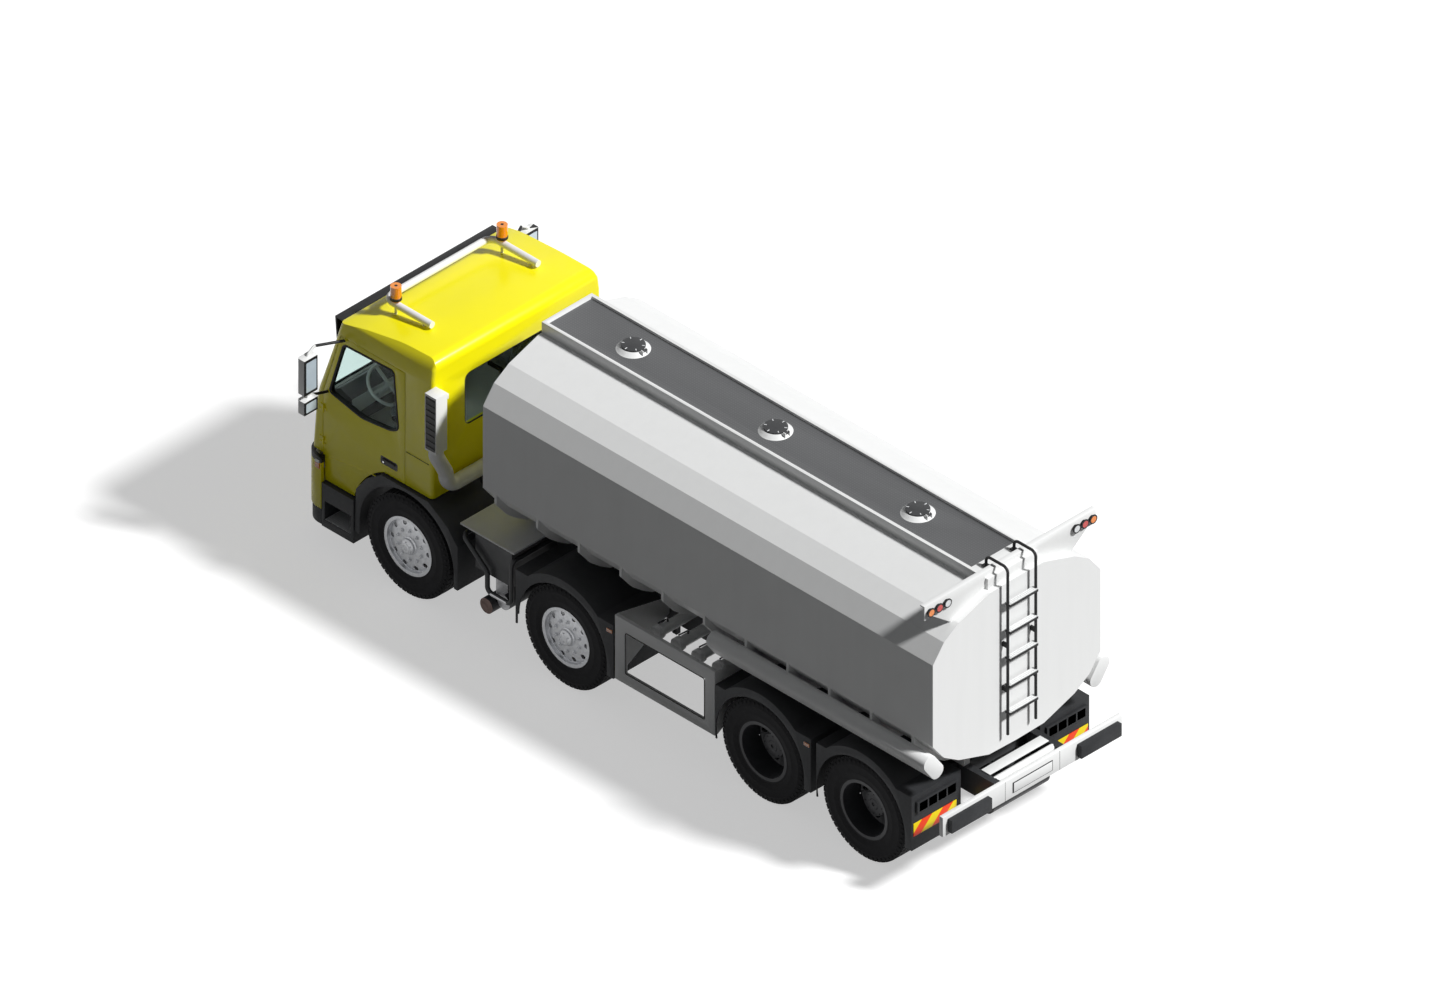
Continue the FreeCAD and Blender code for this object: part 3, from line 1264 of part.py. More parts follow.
def cab_side(name, inset, bottom):
    """Side outline that slopes the roof, padded right across."""
    reach = d.front_low + d.front_round
    drop = (d.roof_ahead_height - d.roof_front) / (d.front_brow - d.roof_ahead)
    corners = [
        (d.cab_rear + inset, bottom),
        (reach, bottom),
        (reach, d.roof_front - inset - drop * (reach - d.front_brow)),
        (d.roof_ahead, d.roof_ahead_height - inset, d.roof_sweep),
        (d.roof_back, d.roof_back_height - inset, d.roof_sweep),
        (d.cab_rear + inset, d.roof_rear - inset, d.roof_round),
    ]
    return prism(name, "XZ", corners, -d.cab_half - d.cab_wall, d.cab_half + d.cab_wall)


def cab_outer():
    """The whole cab as a solid block, with its wheel arches and open lower front."""
    form = shared("cab_block", cab_form("cab_outer_form", as_size(0)),
                  cab_side("cab_outer_side", as_size(0), d.cab_bottom))
    wide = d.cab_half + d.cab_wall
    behind = block("cab_underside", (d.cab_rear - d.cab_wall, d.arch_rear_limit),
                   (-wide, wide), (d.cab_bottom - d.cab_wall, d.cab_floor))
    arch = rod("cab_wheel_arch", "y", -wide, wide, d.wheel_arch, (d.axle_first, d.tyre_radius))
    arch_limit = block("cab_arch_limit", (d.cab_rear - d.cab_wall, d.front_low), (-wide, wide),
                       (d.cab_bottom - d.cab_wall, d.cab_floor))
    arch_only = shared("cab_arch_cut", arch, arch_limit)
    lower_front = block("cab_lower_front", (d.door_front + d.door_gap, d.front_low + d.cab_wall),
                        (-wide, wide), (d.cab_bottom - d.cab_wall, d.front_lip))
    return cut("cab_solid", form, behind, arch_only, lower_front)


def cab_hollow():
    """The room inside the cab and the open space below its floor."""
    room = shared("cab_room", cab_form("cab_inner_form", d.cab_wall),
                  cab_side("cab_inner_side", d.cab_wall, d.cab_floor + d.floor_wall))
    side = d.cab_half - d.cab_wall
    under = block("cab_under_room", (d.cab_rear - d.cab_wall, d.front_low - d.cab_wall), (-side, side),
                  (d.cab_bottom - d.cab_wall, d.cab_floor))
    return room, under


def door_corners(gap):
    """Outline of the left door from the side, widened by a gap."""
    return [
        (d.door_rear - gap, d.cab_bottom - d.cab_wall),
        (d.door_front + gap, d.cab_bottom - d.cab_wall),
        (d.door_front + gap, d.waist_height),
        (d.front_sill - d.door_sill_inset + gap, d.sill_height),
        (d.front_head - d.door_head_inset + gap, d.door_top + gap),
        (d.door_rear - gap, d.door_top + gap),
    ]


def window_corners():
    """Outline of the door's window."""
    return [
        (d.window_rear + d.window_head_back, d.window_head, d.window_round),
        (d.window_rear, d.window_waist, d.window_round),
        (d.window_rear + d.window_low_back, d.window_low, d.window_round),
        (d.window_rear + d.window_keel, d.window_sill, d.window_round),
        (d.window_front, d.window_front_low, d.window_round),
        (d.window_front - d.window_brow_back, d.window_brow, d.window_round),
    ]


def screen_corners():
    """Outline of the windscreen from ahead."""
    return [
        (d.screen_low_half, d.screen_bottom, d.screen_round),
        (d.screen_top_half, d.screen_top, d.screen_round),
        (-d.screen_top_half, d.screen_top, d.screen_round),
        (-d.screen_low_half, d.screen_bottom, d.screen_round),
    ]


def rear_glass_corners():
    """Outline of the cab's rear window."""
    half = d.rear_glass_half
    return [
        (half, d.rear_glass_bottom, d.screen_round),
        (half, d.rear_glass_top, d.screen_round),
        (-half, d.rear_glass_top, d.screen_round),
        (-half, d.rear_glass_bottom, d.screen_round),
    ]


def hinge_spot():
    """Where the left door's hinge line stands, seen from above."""
    return d.door_front - d.hinge_back, d.cab_half + d.hinge_out


def hinge_barrels():
    """Middle barrels of the left door's two hinges, on leaves that lie on the door's skin."""
    forward, side = hinge_spot()
    pieces = []
    for name, low in (("low", d.hinge_low), ("high", d.hinge_high)):
        bottom = low + d.hinge_third + d.rest_gap
        top = low + d.hinge_third * 2 - d.rest_gap
        pieces.append(rod(f"{name}_barrel", "z", bottom, top, d.hinge_radius, (forward, side)))
        pieces.append(block(f"{name}_door_leaf", (forward - d.hinge_reach, forward),
                            (d.cab_half - d.hinge_leaf, side - d.hinge_pin - d.pin_gap * 2), (bottom, top)))
    return pieces


def hinge_bores():
    """Bores of the left door's hinge barrels."""
    return [
        rod(f"{name}_barrel_bore", "z", low, low + d.hinge_third * 3, d.hinge_pin + d.pin_gap, hinge_spot())
        for name, low in (("low", d.hinge_low), ("high", d.hinge_high))
    ]


def hinge_brackets():
    """Pins of the left door's hinges, with their end barrels and the leaves to the cab's corner."""
    forward, side = hinge_spot()
    pieces = []
    for name, low in (("low", d.hinge_low), ("high", d.hinge_high)):
        top = low + d.hinge_third * 3
        pieces.append(rod(f"{name}_hinge_pin", "z", low, top, d.hinge_pin, (forward, side)))
        for end, start in (("foot", low), ("head", top - d.hinge_third)):
            span = (start, start + d.hinge_third)
            foot = d.door_front + d.door_gap + d.hinge_leaf
            pieces.append(rod(f"{name}_{end}_barrel", "z", *span, d.hinge_radius, (forward, side)))
            pieces.append(block(f"{name}_{end}_leaf", (forward, foot + d.hinge_reach),
                                (side - d.hinge_radius, side - d.hinge_pin), span))
            pieces.append(block(f"{name}_{end}_foot", (foot, foot + d.hinge_reach),
                                (d.cab_half - d.hinge_reach, side - d.hinge_pin), span))
    return pieces


def make_cab():
    """Cab shell, doors and glass, all cut from one form."""
    solid = cab_outer()
    room, under = cab_hollow()
    inner = d.door_inner
    outer = d.cab_half + d.cab_wall
    wall_side = d.cab_half - d.cab_wall
    floor_top = d.cab_floor + d.floor_wall
    whole = cut("cab_whole_shell", solid, room, under)
    sill = block("door_sill", (d.door_rear - d.cab_wall, d.door_front + d.cab_wall),
                 (inner - d.overshoot, wall_side - d.door_gap), (d.cab_bottom - d.cab_wall, floor_top))
    doorway = cut("doorway", prism("doorway_form", "XZ", door_corners(d.door_gap), inner, outer), sill)
    side_window = prism("side_window", "XZ", window_corners(), inner, outer)
    screen = prism("screen_opening", "YZ", screen_corners(), d.front_head - d.cab_wall * 3,
                   d.front_low + d.cab_wall)
    rear_window = prism("rear_opening", "YZ", rear_glass_corners(), d.cab_rear - d.cab_wall,
                        d.cab_rear + d.cab_wall * 2)
    bore = d.pivot_radius + d.pin_gap
    inner_side = d.rail_inner - d.lug_wall - d.running_gap
    high = d.cab_floor + d.floor_wall / 2
    back = d.pivot_forward - d.lug_back
    corners = [
        (d.pivot_forward, d.pivot_height - d.lug_radius),
        (back - d.lug_post, d.pivot_height - d.lug_radius),
        (back - d.lug_post, high),
        (back, high),
        (back, d.pivot_height + d.lug_radius),
        (d.pivot_forward, d.pivot_height + d.lug_radius),
    ]
    lug = prism("pivot_arm", "XZ", corners, inner_side, inner_side + d.lug_wall)
    eye = rod("pivot_eye", "y", inner_side, inner_side + d.lug_wall, d.lug_radius,
              (d.pivot_forward, d.pivot_height))
    hole = rod("pivot_hole", "y", inner_side - d.overshoot, inner_side + d.lug_wall + d.overshoot, bore,
               (d.pivot_forward, d.pivot_height))
    left_lug = cut("left_pivot_lug", fused("pivot_lug", lug, eye), hole)
    shell = cut("cab_open_shell", whole, doorway, mirrored("other_doorway", doorway), screen, rear_window)
    hinges = fused("left_hinges", *hinge_brackets())
    node("cab_shell", fused("cab_shell", shell, left_lug, mirrored("right_pivot_lug", left_lug), hinges,
                            mirrored("right_hinges", hinges)))

    skin = cut("glass_skin", cab_form("glass_outer_form", d.glass_depth),
               cab_form("glass_inner_form", d.glass_depth + d.glass_wall))
    windscreen = shared("windscreen", skin, screen)
    rear_glass = shared("rear_glass", skin, rear_window)
    node("cab_glass", grouped("cab_glass", windscreen, rear_glass))

    door_form = prism("door_form", "XZ", door_corners(as_size(0)), inner, outer)
    floor_edge = block("floor_edge", (d.door_rear - d.cab_wall, d.door_front + d.cab_wall),
                       (inner - d.overshoot, wall_side), (d.cab_bottom - d.cab_wall, floor_top))
    behind_bumper = block("door_foot_recess", (d.door_foot, d.door_front + d.door_gap),
                          (d.cab_half - d.door_recess, outer),
                          (d.cab_bottom - d.cab_wall, d.front_top + d.door_gap))
    skin_door = cut("door_skin", shared("door_blank", whole, door_form), side_window, floor_edge,
                    behind_bumper)
    door = cut("left_door", fused("door_and_barrels", skin_door, *hinge_barrels()), *hinge_bores())
    glass = shared("left_door_glass", skin, side_window)
    node("door_left", door)
    node("door_right", mirrored("right_door", door))
    node("door_glass_left", glass)
    node("door_glass_right", mirrored("right_door_glass", glass))
    return solid, door


def visor(cab):
    """Sun visor ahead of the windscreen's top."""
    front = d.visor_front
    wall = d.visor_wall
    corners = [
        (d.front_brow - d.cab_wall, d.visor_top),
        (front, d.visor_top),
        (front - wall - d.visor_lean, d.visor_bottom),
        (front - wall * 2 - d.visor_lean, d.visor_bottom),
        (front - wall * 1.5, d.visor_top - wall),
        (d.front_brow - d.cab_wall, d.visor_top - wall),
    ]
    blank = prism("visor_blank", "XZ", corners, -d.visor_half, d.visor_half)
    return cut("visor", blank, cab)


def roof_bar(cab):
    """Tube round the roof's front on feet, with stems for the beacons."""
    tube = bent_tube("roof_tube", d.tube_radius, d.tube_bend, [
        (d.tube_back, d.tube_side, d.tube_height),
        (d.tube_forward, d.tube_side, d.tube_height),
        (d.tube_forward, -d.tube_side, d.tube_height),
        (d.tube_back, -d.tube_side, d.tube_height),
    ])
    pieces = [tube]
    for side, out in SIDES.items():
        across = d.tube_side * out
        for end, forward in (("rear", d.tube_back + d.tube_bend), ("front", d.beacon_forward)):
            pieces.append(rod(f"{side}_{end}_foot", "z", d.roof_front, d.tube_height, d.foot_radius,
                              (forward, across)))
        pieces.append(rod(f"{side}_stem", "z", d.tube_height, d.tube_height + d.tube_radius + d.beacon_stem,
                          d.beacon_radius / 2, (d.beacon_forward, across)))
    return cut("roof_bar", fused("roof_bar_solid", *pieces), cab)


def beacons():
    """An amber beacon on each side of the roof bar."""
    low = d.tube_height + d.tube_radius + d.beacon_stem
    lamp = rod("left_beacon", "z", low, low + d.beacon_height, d.beacon_radius,
               (d.beacon_forward, d.tube_side))
    return both_sides("beacons", lamp)


def air_intake():
    """Intake box behind the cab's left corner, with its duct down and inboard."""
    inner = d.intake_outer - d.intake_width
    box = block("intake_box", (d.intake_rear, d.intake_front), (inner, d.intake_outer),
                (d.intake_bottom, d.intake_top))
    middle = (d.intake_rear + d.intake_front) / 2
    centre = d.intake_outer - d.intake_width / 2
    duct = bent_tube("intake_duct", d.duct_radius, d.duct_bend, [
        (middle, centre, d.intake_bottom + d.duct_radius),
        (middle, centre, d.intake_bottom - d.duct_radius),
        (middle, d.duct_side, d.intake_bottom - d.duct_drop),
        (middle, d.duct_side, d.duct_low),
        (middle, d.duct_end, d.duct_low),
    ])
    pieces = [box, duct]
    low_side = d.duct_side - d.duct_radius / 2
    heights = {"top": d.intake_top - d.intake_width, "low": d.low_bracket}
    for name, height in heights.items():
        high_side = inner + d.lid_pin if name == "top" else low_side + d.duct_radius
        pieces.append(block(f"intake_{name}_bracket", (middle, d.cab_rear), (low_side, high_side),
                            (height, height + d.cab_wall)))
    return fused("air_intake", *pieces)


def mirrors(door):
    """Main and wide-angle mirrors on two arms from the left door."""
    front = d.mirror_rear + d.mirror_depth
    middle = d.mirror_rear + d.mirror_depth / 2
    across = (d.mirror_inner + d.mirror_outer) / 2
    pieces = []
    for name, low, high in (("main", d.mirror_bottom, d.mirror_top), ("wide", d.wide_bottom, d.wide_top)):
        corners = [
            (d.mirror_rear, d.mirror_inner, d.edge_round),
            (d.mirror_rear, d.mirror_outer, d.edge_round),
            (front, d.mirror_outer, d.mirror_round),
            (front, d.mirror_inner, d.mirror_round),
        ]
        pieces.append(prism(f"{name}_mirror", "XY", corners, low, high))
    pieces.append(rod("mirror_post", "z", d.wide_top, d.mirror_bottom, d.arm_radius, (middle, across)))
    door_side = d.head_half - d.cab_wall / 2
    head_root = d.front_head - d.door_head_inset - d.cab_wall
    sill_root = d.front_sill - d.door_sill_inset - d.cab_wall
    pieces.append(bent_tube("top_arm", d.arm_radius, d.arm_radius * 3, [
        (head_root, door_side, d.window_head + d.arm_radius * 1.5),
        (middle, d.mirror_inner, d.window_head + d.arm_radius * 1.5),
        (middle, across, d.mirror_top + d.arm_radius),
        (middle, across, d.mirror_top - d.arm_radius),
    ]))
    gap_height = (d.wide_top + d.mirror_bottom) / 2
    pieces.append(bent_tube("low_arm", d.arm_radius, d.arm_radius * 3, [
        (sill_root, d.cab_half - d.cab_wall / 2, d.wide_bottom),
        (sill_root, d.mirror_inner - d.mirror_depth, d.wide_bottom + d.arm_radius * 4),
        (middle, across, gap_height),
    ]))
    return cut("left_mirrors", fused("mirrors_and_arms", *pieces), door)


def seats():
    """Driver's and passenger's seats on their bases."""
    floor = d.cab_floor + d.floor_wall
    pieces = []
    for side, out in SIDES.items():
        middle = d.seat_side * out
        low = middle - d.seat_half
        high = middle + d.seat_half
        back = [
            (d.seat_rear + d.back_wall, d.seat_low),
            (d.seat_rear + d.back_wall * 2, d.seat_low),
            (d.seat_rear + d.back_wall, d.back_top),
            (d.seat_rear, d.back_top),
        ]
        pieces.append(fused(
            f"{side}_seat",
            prism(f"{side}_seat_back", "XZ", back, low, high),
            block(f"{side}_cushion", (d.seat_rear + d.back_wall, d.seat_front), (low, high),
                  (d.seat_low, d.seat_top)),
            block(f"{side}_base", (d.seat_rear + d.back_wall * 1.3, d.seat_front - d.back_wall),
                  (middle - d.seat_foot, middle + d.seat_foot), (floor, d.seat_low)),
        ))
    return grouped("seats", *pieces)


def dashboard():
    """Dashboard right across below the windscreen."""
    floor = d.cab_floor + d.floor_wall
    corners = [
        (d.dash_front - d.dash_edge, floor),
        (d.dash_front, d.waist_height),
        (d.dash_front - d.dash_edge, d.dash_top - d.dash_brow),
        (d.dash_front - d.dash_slope, d.dash_top),
        (d.dash_back, d.dash_top - d.dash_brow),
        (d.dash_back - d.dash_lip, d.dash_knee),
        (d.dash_back + d.dash_shelf, d.dash_low),
        (d.dash_back + d.dash_foot, floor),
    ]
    blank = prism("dash_blank", "XZ", corners, -d.dash_half, d.dash_half)
    return shared("dash_panel", blank, cab_form("dash_limit", d.cab_wall))


def steering_wheel():
    """Steering wheel on its column, ahead of the driver."""
    lean = -d.wheel_lean
    centre = Vector(d.wheel_forward.value, d.wheel_side.value, d.wheel_height.value)
    tilt = FreeCAD.Rotation(Vector(0, 1, 0), lean.value)
    ring = doc.addObject("Part::Torus", "wheel_ring")
    bind(ring, "Radius1", d.wheel_ring)
    bind(ring, "Radius2", d.wheel_grip)
    ring.Placement = FreeCAD.Placement(centre, tilt)
    column = doc.addObject("Part::Cylinder", "column")
    bind(column, "Radius", d.wheel_grip * 2)
    bind(column, "Height", d.column_length)
    column.Placement = FreeCAD.Placement(centre, FreeCAD.Rotation(Vector(0, 1, 0), 180 + lean.value))
    spokes = []
    for name, length, width in (("cross_spoke", d.wheel_grip * 2, d.wheel_ring * 2),
                                ("long_spoke", d.wheel_ring * 2, d.wheel_grip * 2)):
        spoke = doc.addObject("Part::Box", name)
        bind(spoke, "Length", length)
        bind(spoke, "Width", width)
        bind(spoke, "Height", d.wheel_grip)
        half = Vector(-length.value / 2, -width.value / 2, -d.wheel_grip.value / 2)
        spoke.Placement = FreeCAD.Placement(centre + tilt.multVec(half), tilt)
        spokes.append(spoke)
    return fused("steering_wheel", ring, column, *spokes)


def grille(cab):
    """Dark grille panel on the cab's front."""
    half = d.grille_half
    low = d.grille_bottom
    high = d.grille_top
    slope = (d.front_low - d.front_waist) / (d.waist_height - d.front_lip)
    corners = [
        (d.front_low - d.cab_wall, low),
        (d.front_low + d.grille_wall - slope * (low - d.front_lip), low),
        (d.front_low + d.grille_wall - slope * (high - d.front_lip), high),
        (d.front_low - d.cab_wall, high),
    ]
    return cut("grille", prism("grille_blank", "XZ", corners, -half, half), cab)


def bumper_shell(name, inset, low, high):
    """A rounded channel round the front, open to the rear."""
    outer = d.front_side - inset
    inner = outer - d.front_wall
    face = d.front_face - inset
    back = d.front_back - d.front_wall
    outside = [
        (d.front_back, outer, d.edge_round),
        (face, outer, d.front_bend),
        (face, -outer, d.front_bend),
        (d.front_back, -outer, d.edge_round),
    ]
    inside = [
        (back, inner, d.edge_round),
        (face - d.front_wall, inner, d.front_bend - d.front_wall),
        (face - d.front_wall, -inner, d.front_bend - d.front_wall),
        (back, -inner, d.edge_round),
    ]
    return cut(name, prism(name + "_blank", "XY", outside, low, high),
               prism(name + "_room", "XY", inside, low - d.front_wall, high + d.front_wall))


def front_bumper():
    """Painted bumper with an opening for each headlamp and its rear top corners clipped off."""
    shell = bumper_shell("bumper_form", 0, d.front_bottom, d.front_top)
    opening = block("headlamp_opening", (d.front_face - d.front_wall, d.front_face + d.front_wall),
                    (d.headlamp_inner, d.headlamp_outer), (d.headlamp_bottom, d.headlamp_top))
    clip = prism("bumper_corner_clip", "XZ", [
        (d.front_back, d.front_top - d.front_clip_drop),
        (d.front_back + d.front_clip, d.front_top),
        (d.front_back + d.front_clip, d.front_top + d.overshoot),
        (d.front_back - d.overshoot, d.front_top + d.overshoot),
        (d.front_back - d.overshoot, d.front_top - d.front_clip_drop),
    ], -d.front_side - d.overshoot, d.front_side + d.overshoot)
    return cut("front_bumper", shell, opening, mirrored("other_opening", opening), clip)


def steps():
    """Black skirt below the bumper and the boxes with the steps up to the doors."""
    skirt = bumper_shell("skirt", d.skirt_inset, d.skirt_bottom, d.front_bottom)
    box = block("step_box", (d.step_box_rear, d.front_back), (d.step_box_inner, d.step_box_side),
                (d.step_box_bottom, d.step_box_top))
    pocket = block("step_pocket", (d.step_box_rear + d.front_wall, d.front_back - d.front_wall),
                   (d.step_pocket_inner, d.step_box_side + d.overshoot), (d.step_pocket, d.step_pocket_top))
    bracket = block("step_bracket", (d.step_box_rear + d.front_wall * 2, d.front_back - d.front_wall * 2),
                    (d.rail_outer, d.step_box_inner),
                    (d.rail_top - d.rail_depth - d.front_wall, d.step_box_top))
    left = fused("left_step", cut("hollow_step_box", box, pocket), bracket)
    return fused("steps", skirt, left, mirrored("right_step", left))


def make_truck():
    """All the sub-parts, each under its own name."""
    make_wheels()
    for axle in ("first", "second"):
        for side, out in SIDES.items():
            name = f"knuckle_{axle}_{side}"
            node(name, knuckle(name, AXES[axle], out))
        node("axle_" + axle, steered_axle("axle_" + axle, AXES[axle]))
    for axle in ("third", "fourth"):
        node("axle_" + axle, driven_axle("axle_" + axle, AXES[axle]))
    node("chassis_frame", chassis_frame())
    node("engine", block("engine", (d.engine_rear, d.engine_front), (-d.engine_half, d.engine_half),
                         (d.engine_bottom, d.engine_top)))
    node("driveline", driveline())
    tank = node("tank", prism("tank", "YZ", tank_section(), d.tank_rear, d.tank_front))
    node("tank_cradles", cradles(tank))
    tray = node("walkway", walkway(tank))
    for index, name in ((-1, "lid_rear"), (0, "lid_middle"), (1, "lid_front")):
        node(name, manhole_lid(name, d.lid_middle + d.lid_pitch * index))
    node("ladder", ladder())
    node("light_bar", light_bar(tank, tray))
    node("hose_tubes", hose_tubes(tank))
    node("side_frame", side_frame())
    node("pipework", pipework())
    node("battery_bay", grouped("battery_bay", deck_and_box(), air_tanks()))
    node("fuel_tank", fuel_tank())
    node("exhaust_box", exhaust_box())
    node("rear_bumper", rear_bumper())
    node("lamps", lamps())
    node("mudguards", both_sides("mudguards", mudguards()))
    node("front_bumper", front_bumper())
    node("steps", steps())
    cab, door = make_cab()
    node("cab_trim", grouped("cab_trim", visor(cab), grille(cab)))
    node("roof_bar", roof_bar(cab))
    node("beacons", beacons())
    node("air_intake", air_intake())
    left_mirrors = node("mirrors_left", mirrors(door))
    node("mirrors_right", mirrored("right_mirrors", left_mirrors))
    node("seats", seats())
    node("dashboard", fused("dashboard", dashboard(), steering_wheel()))


def check_and_write():
    """Check every object, then write each sub-part to its own file."""
    doc.recompute()
    faults = [item.Name for item in doc.Objects if "Invalid" in item.State or "Error" in item.State]
    for piece in NODES:
        if piece.Shape.isNull() or not piece.Shape.isValid() or not piece.Shape.Solids:
            faults.append(piece.Label)
    if faults:
        raise RuntimeError("Failed objects: " + ", ".join(faults))
    os.makedirs("parts", exist_ok=True)
    for piece in NODES:
        piece.Shape.exportStep(f"parts/{piece.Label}.step")
    print(len(NODES), "sub-parts written")


make_truck()
check_and_write()
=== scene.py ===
"""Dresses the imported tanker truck: finishes for every part, and the fittings too small for its solids."""
import math

import bpy
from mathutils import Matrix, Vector


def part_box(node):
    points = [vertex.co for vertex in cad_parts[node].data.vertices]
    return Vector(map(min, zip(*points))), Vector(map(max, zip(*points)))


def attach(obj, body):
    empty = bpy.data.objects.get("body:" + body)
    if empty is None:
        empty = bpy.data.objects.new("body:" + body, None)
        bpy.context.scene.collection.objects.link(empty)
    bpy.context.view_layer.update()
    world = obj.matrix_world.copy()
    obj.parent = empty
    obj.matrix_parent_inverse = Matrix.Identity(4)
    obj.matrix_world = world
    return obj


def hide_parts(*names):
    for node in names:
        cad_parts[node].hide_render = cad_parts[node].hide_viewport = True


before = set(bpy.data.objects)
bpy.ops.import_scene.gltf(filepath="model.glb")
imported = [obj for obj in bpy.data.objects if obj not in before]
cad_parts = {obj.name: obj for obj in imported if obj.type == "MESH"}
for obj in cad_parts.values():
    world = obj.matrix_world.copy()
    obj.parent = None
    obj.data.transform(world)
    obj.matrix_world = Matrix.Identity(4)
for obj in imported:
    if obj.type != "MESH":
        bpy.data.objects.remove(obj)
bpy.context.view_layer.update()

SIDES = {"left": 1, "right": -1}
AXLES = {"first": 2.994, "second": 0.849, "third": -1.831, "fourth": -3.201}
STEERED = ("first", "second")
WHEEL_HEIGHT = 0.561


# Camera, floor and lights.

VIEW_BACK = Vector((-1, 1, 1)).normalized()
VIEW_CENTRE = Vector((-0.109, 0, 2.066))
VIEW_WIDTH = 13.87
VIEW_DISTANCE = 40
SUN_FROM = Vector((-0.70, -0.30, 0.80))
SUN_STRENGTH = 4.3
SUN_SPREAD = 7
SKY_STRENGTH = 0.09
SKY_TINT = (0.95, 0.97, 1.0, 1)
FLOOR_WIDTH = 120
FLOOR_GLOW = 0.5
FLOOR_PALE = (0.62, 0.62, 0.62, 1)
FLOOR_DULL = (0.11, 0.11, 0.11, 1)


def fill(node, **values):
    """Set a node's named sockets, a low line standing for a space."""
    for name, value in values.items():
        node.inputs[name.replace("_", " ")].default_value = value
    return node


def add_camera():
    """The photograph's level-edged isometric view, with no perspective."""
    bpy.ops.object.camera_add(location=VIEW_CENTRE + VIEW_BACK * VIEW_DISTANCE)
    camera = bpy.context.object
    camera.name = "camera"
    camera.rotation_euler = VIEW_BACK.to_track_quat("Z", "Y").to_euler()
    camera.data.type = "ORTHO"
    camera.data.ortho_scale = VIEW_WIDTH
    camera.data.clip_end = VIEW_DISTANCE * 3
    bpy.context.scene.camera = camera


def add_sun():
    """One soft lamp far away, high behind the truck and a little to its right."""
    bpy.ops.object.light_add(type="SUN", location=SUN_FROM * 10)
    lamp = bpy.context.object
    lamp.name = "sun"
    lamp.rotation_euler = SUN_FROM.to_track_quat("Z", "Y").to_euler()
    lamp.data.energy = SUN_STRENGTH
    lamp.data.angle = math.radians(SUN_SPREAD)


def add_world():
    """A dim sky for matt surfaces, which the camera, and whatever mirrors it, sees as white."""
    world = bpy.data.worlds.new("studio")
    bpy.context.scene.world = world
    world.use_nodes = True
    nodes = world.node_tree.nodes
    links = world.node_tree.links
    white = nodes["Background"]
    fill(white, Color=(1, 1, 1, 1))
    sky = fill(nodes.new("ShaderNodeBackground"), Color=SKY_TINT, Strength=SKY_STRENGTH)
    rays = nodes.new("ShaderNodeLightPath")
    mix = nodes.new("ShaderNodeMixShader")
    links.new(rays.outputs["Is Diffuse Ray"], mix.inputs[0])
    links.new(white.outputs[0], mix.inputs[1])
    links.new(sky.outputs[0], mix.inputs[2])
    links.new(mix.outputs[0], nodes["World Output"].inputs["Surface"])


def add_floor():
    """A pale floor that keeps the truck's soft shadow, and throws little light back up."""
    bpy.ops.mesh.primitive_plane_add(size=FLOOR_WIDTH, location=(0, 0, 0))
    floor = bpy.context.object
    floor.name = "floor"
    material = bpy.data.materials.new("studio_floor")
    material.use_nodes = True
    nodes = material.node_tree.nodes
    links = material.node_tree.links
    matt = fill(nodes["Principled BSDF"], Base_Color=FLOOR_PALE, Roughness=0.9, Specular_IOR_Level=0.0)
    glow = fill(nodes.new("ShaderNodeEmission"), Strength=FLOOR_GLOW)
    both = nodes.new("ShaderNodeAddShader")
    dull = fill(nodes.new("ShaderNodeBsdfDiffuse"), Color=FLOOR_DULL)
    rays = nodes.new("ShaderNodeLightPath")
    mix = nodes.new("ShaderNodeMixShader")
    links.new(matt.outputs[0], both.inputs[0])
    links.new(glow.outputs[0], both.inputs[1])
    links.new(rays.outputs["Is Diffuse Ray"], mix.inputs[0])
    links.new(both.outputs[0], mix.inputs[1])
    links.new(dull.outputs[0], mix.inputs[2])
    links.new(mix.outputs[0], nodes["Material Output"].inputs["Surface"])
    floor.data.materials.append(material)


# Finishes.

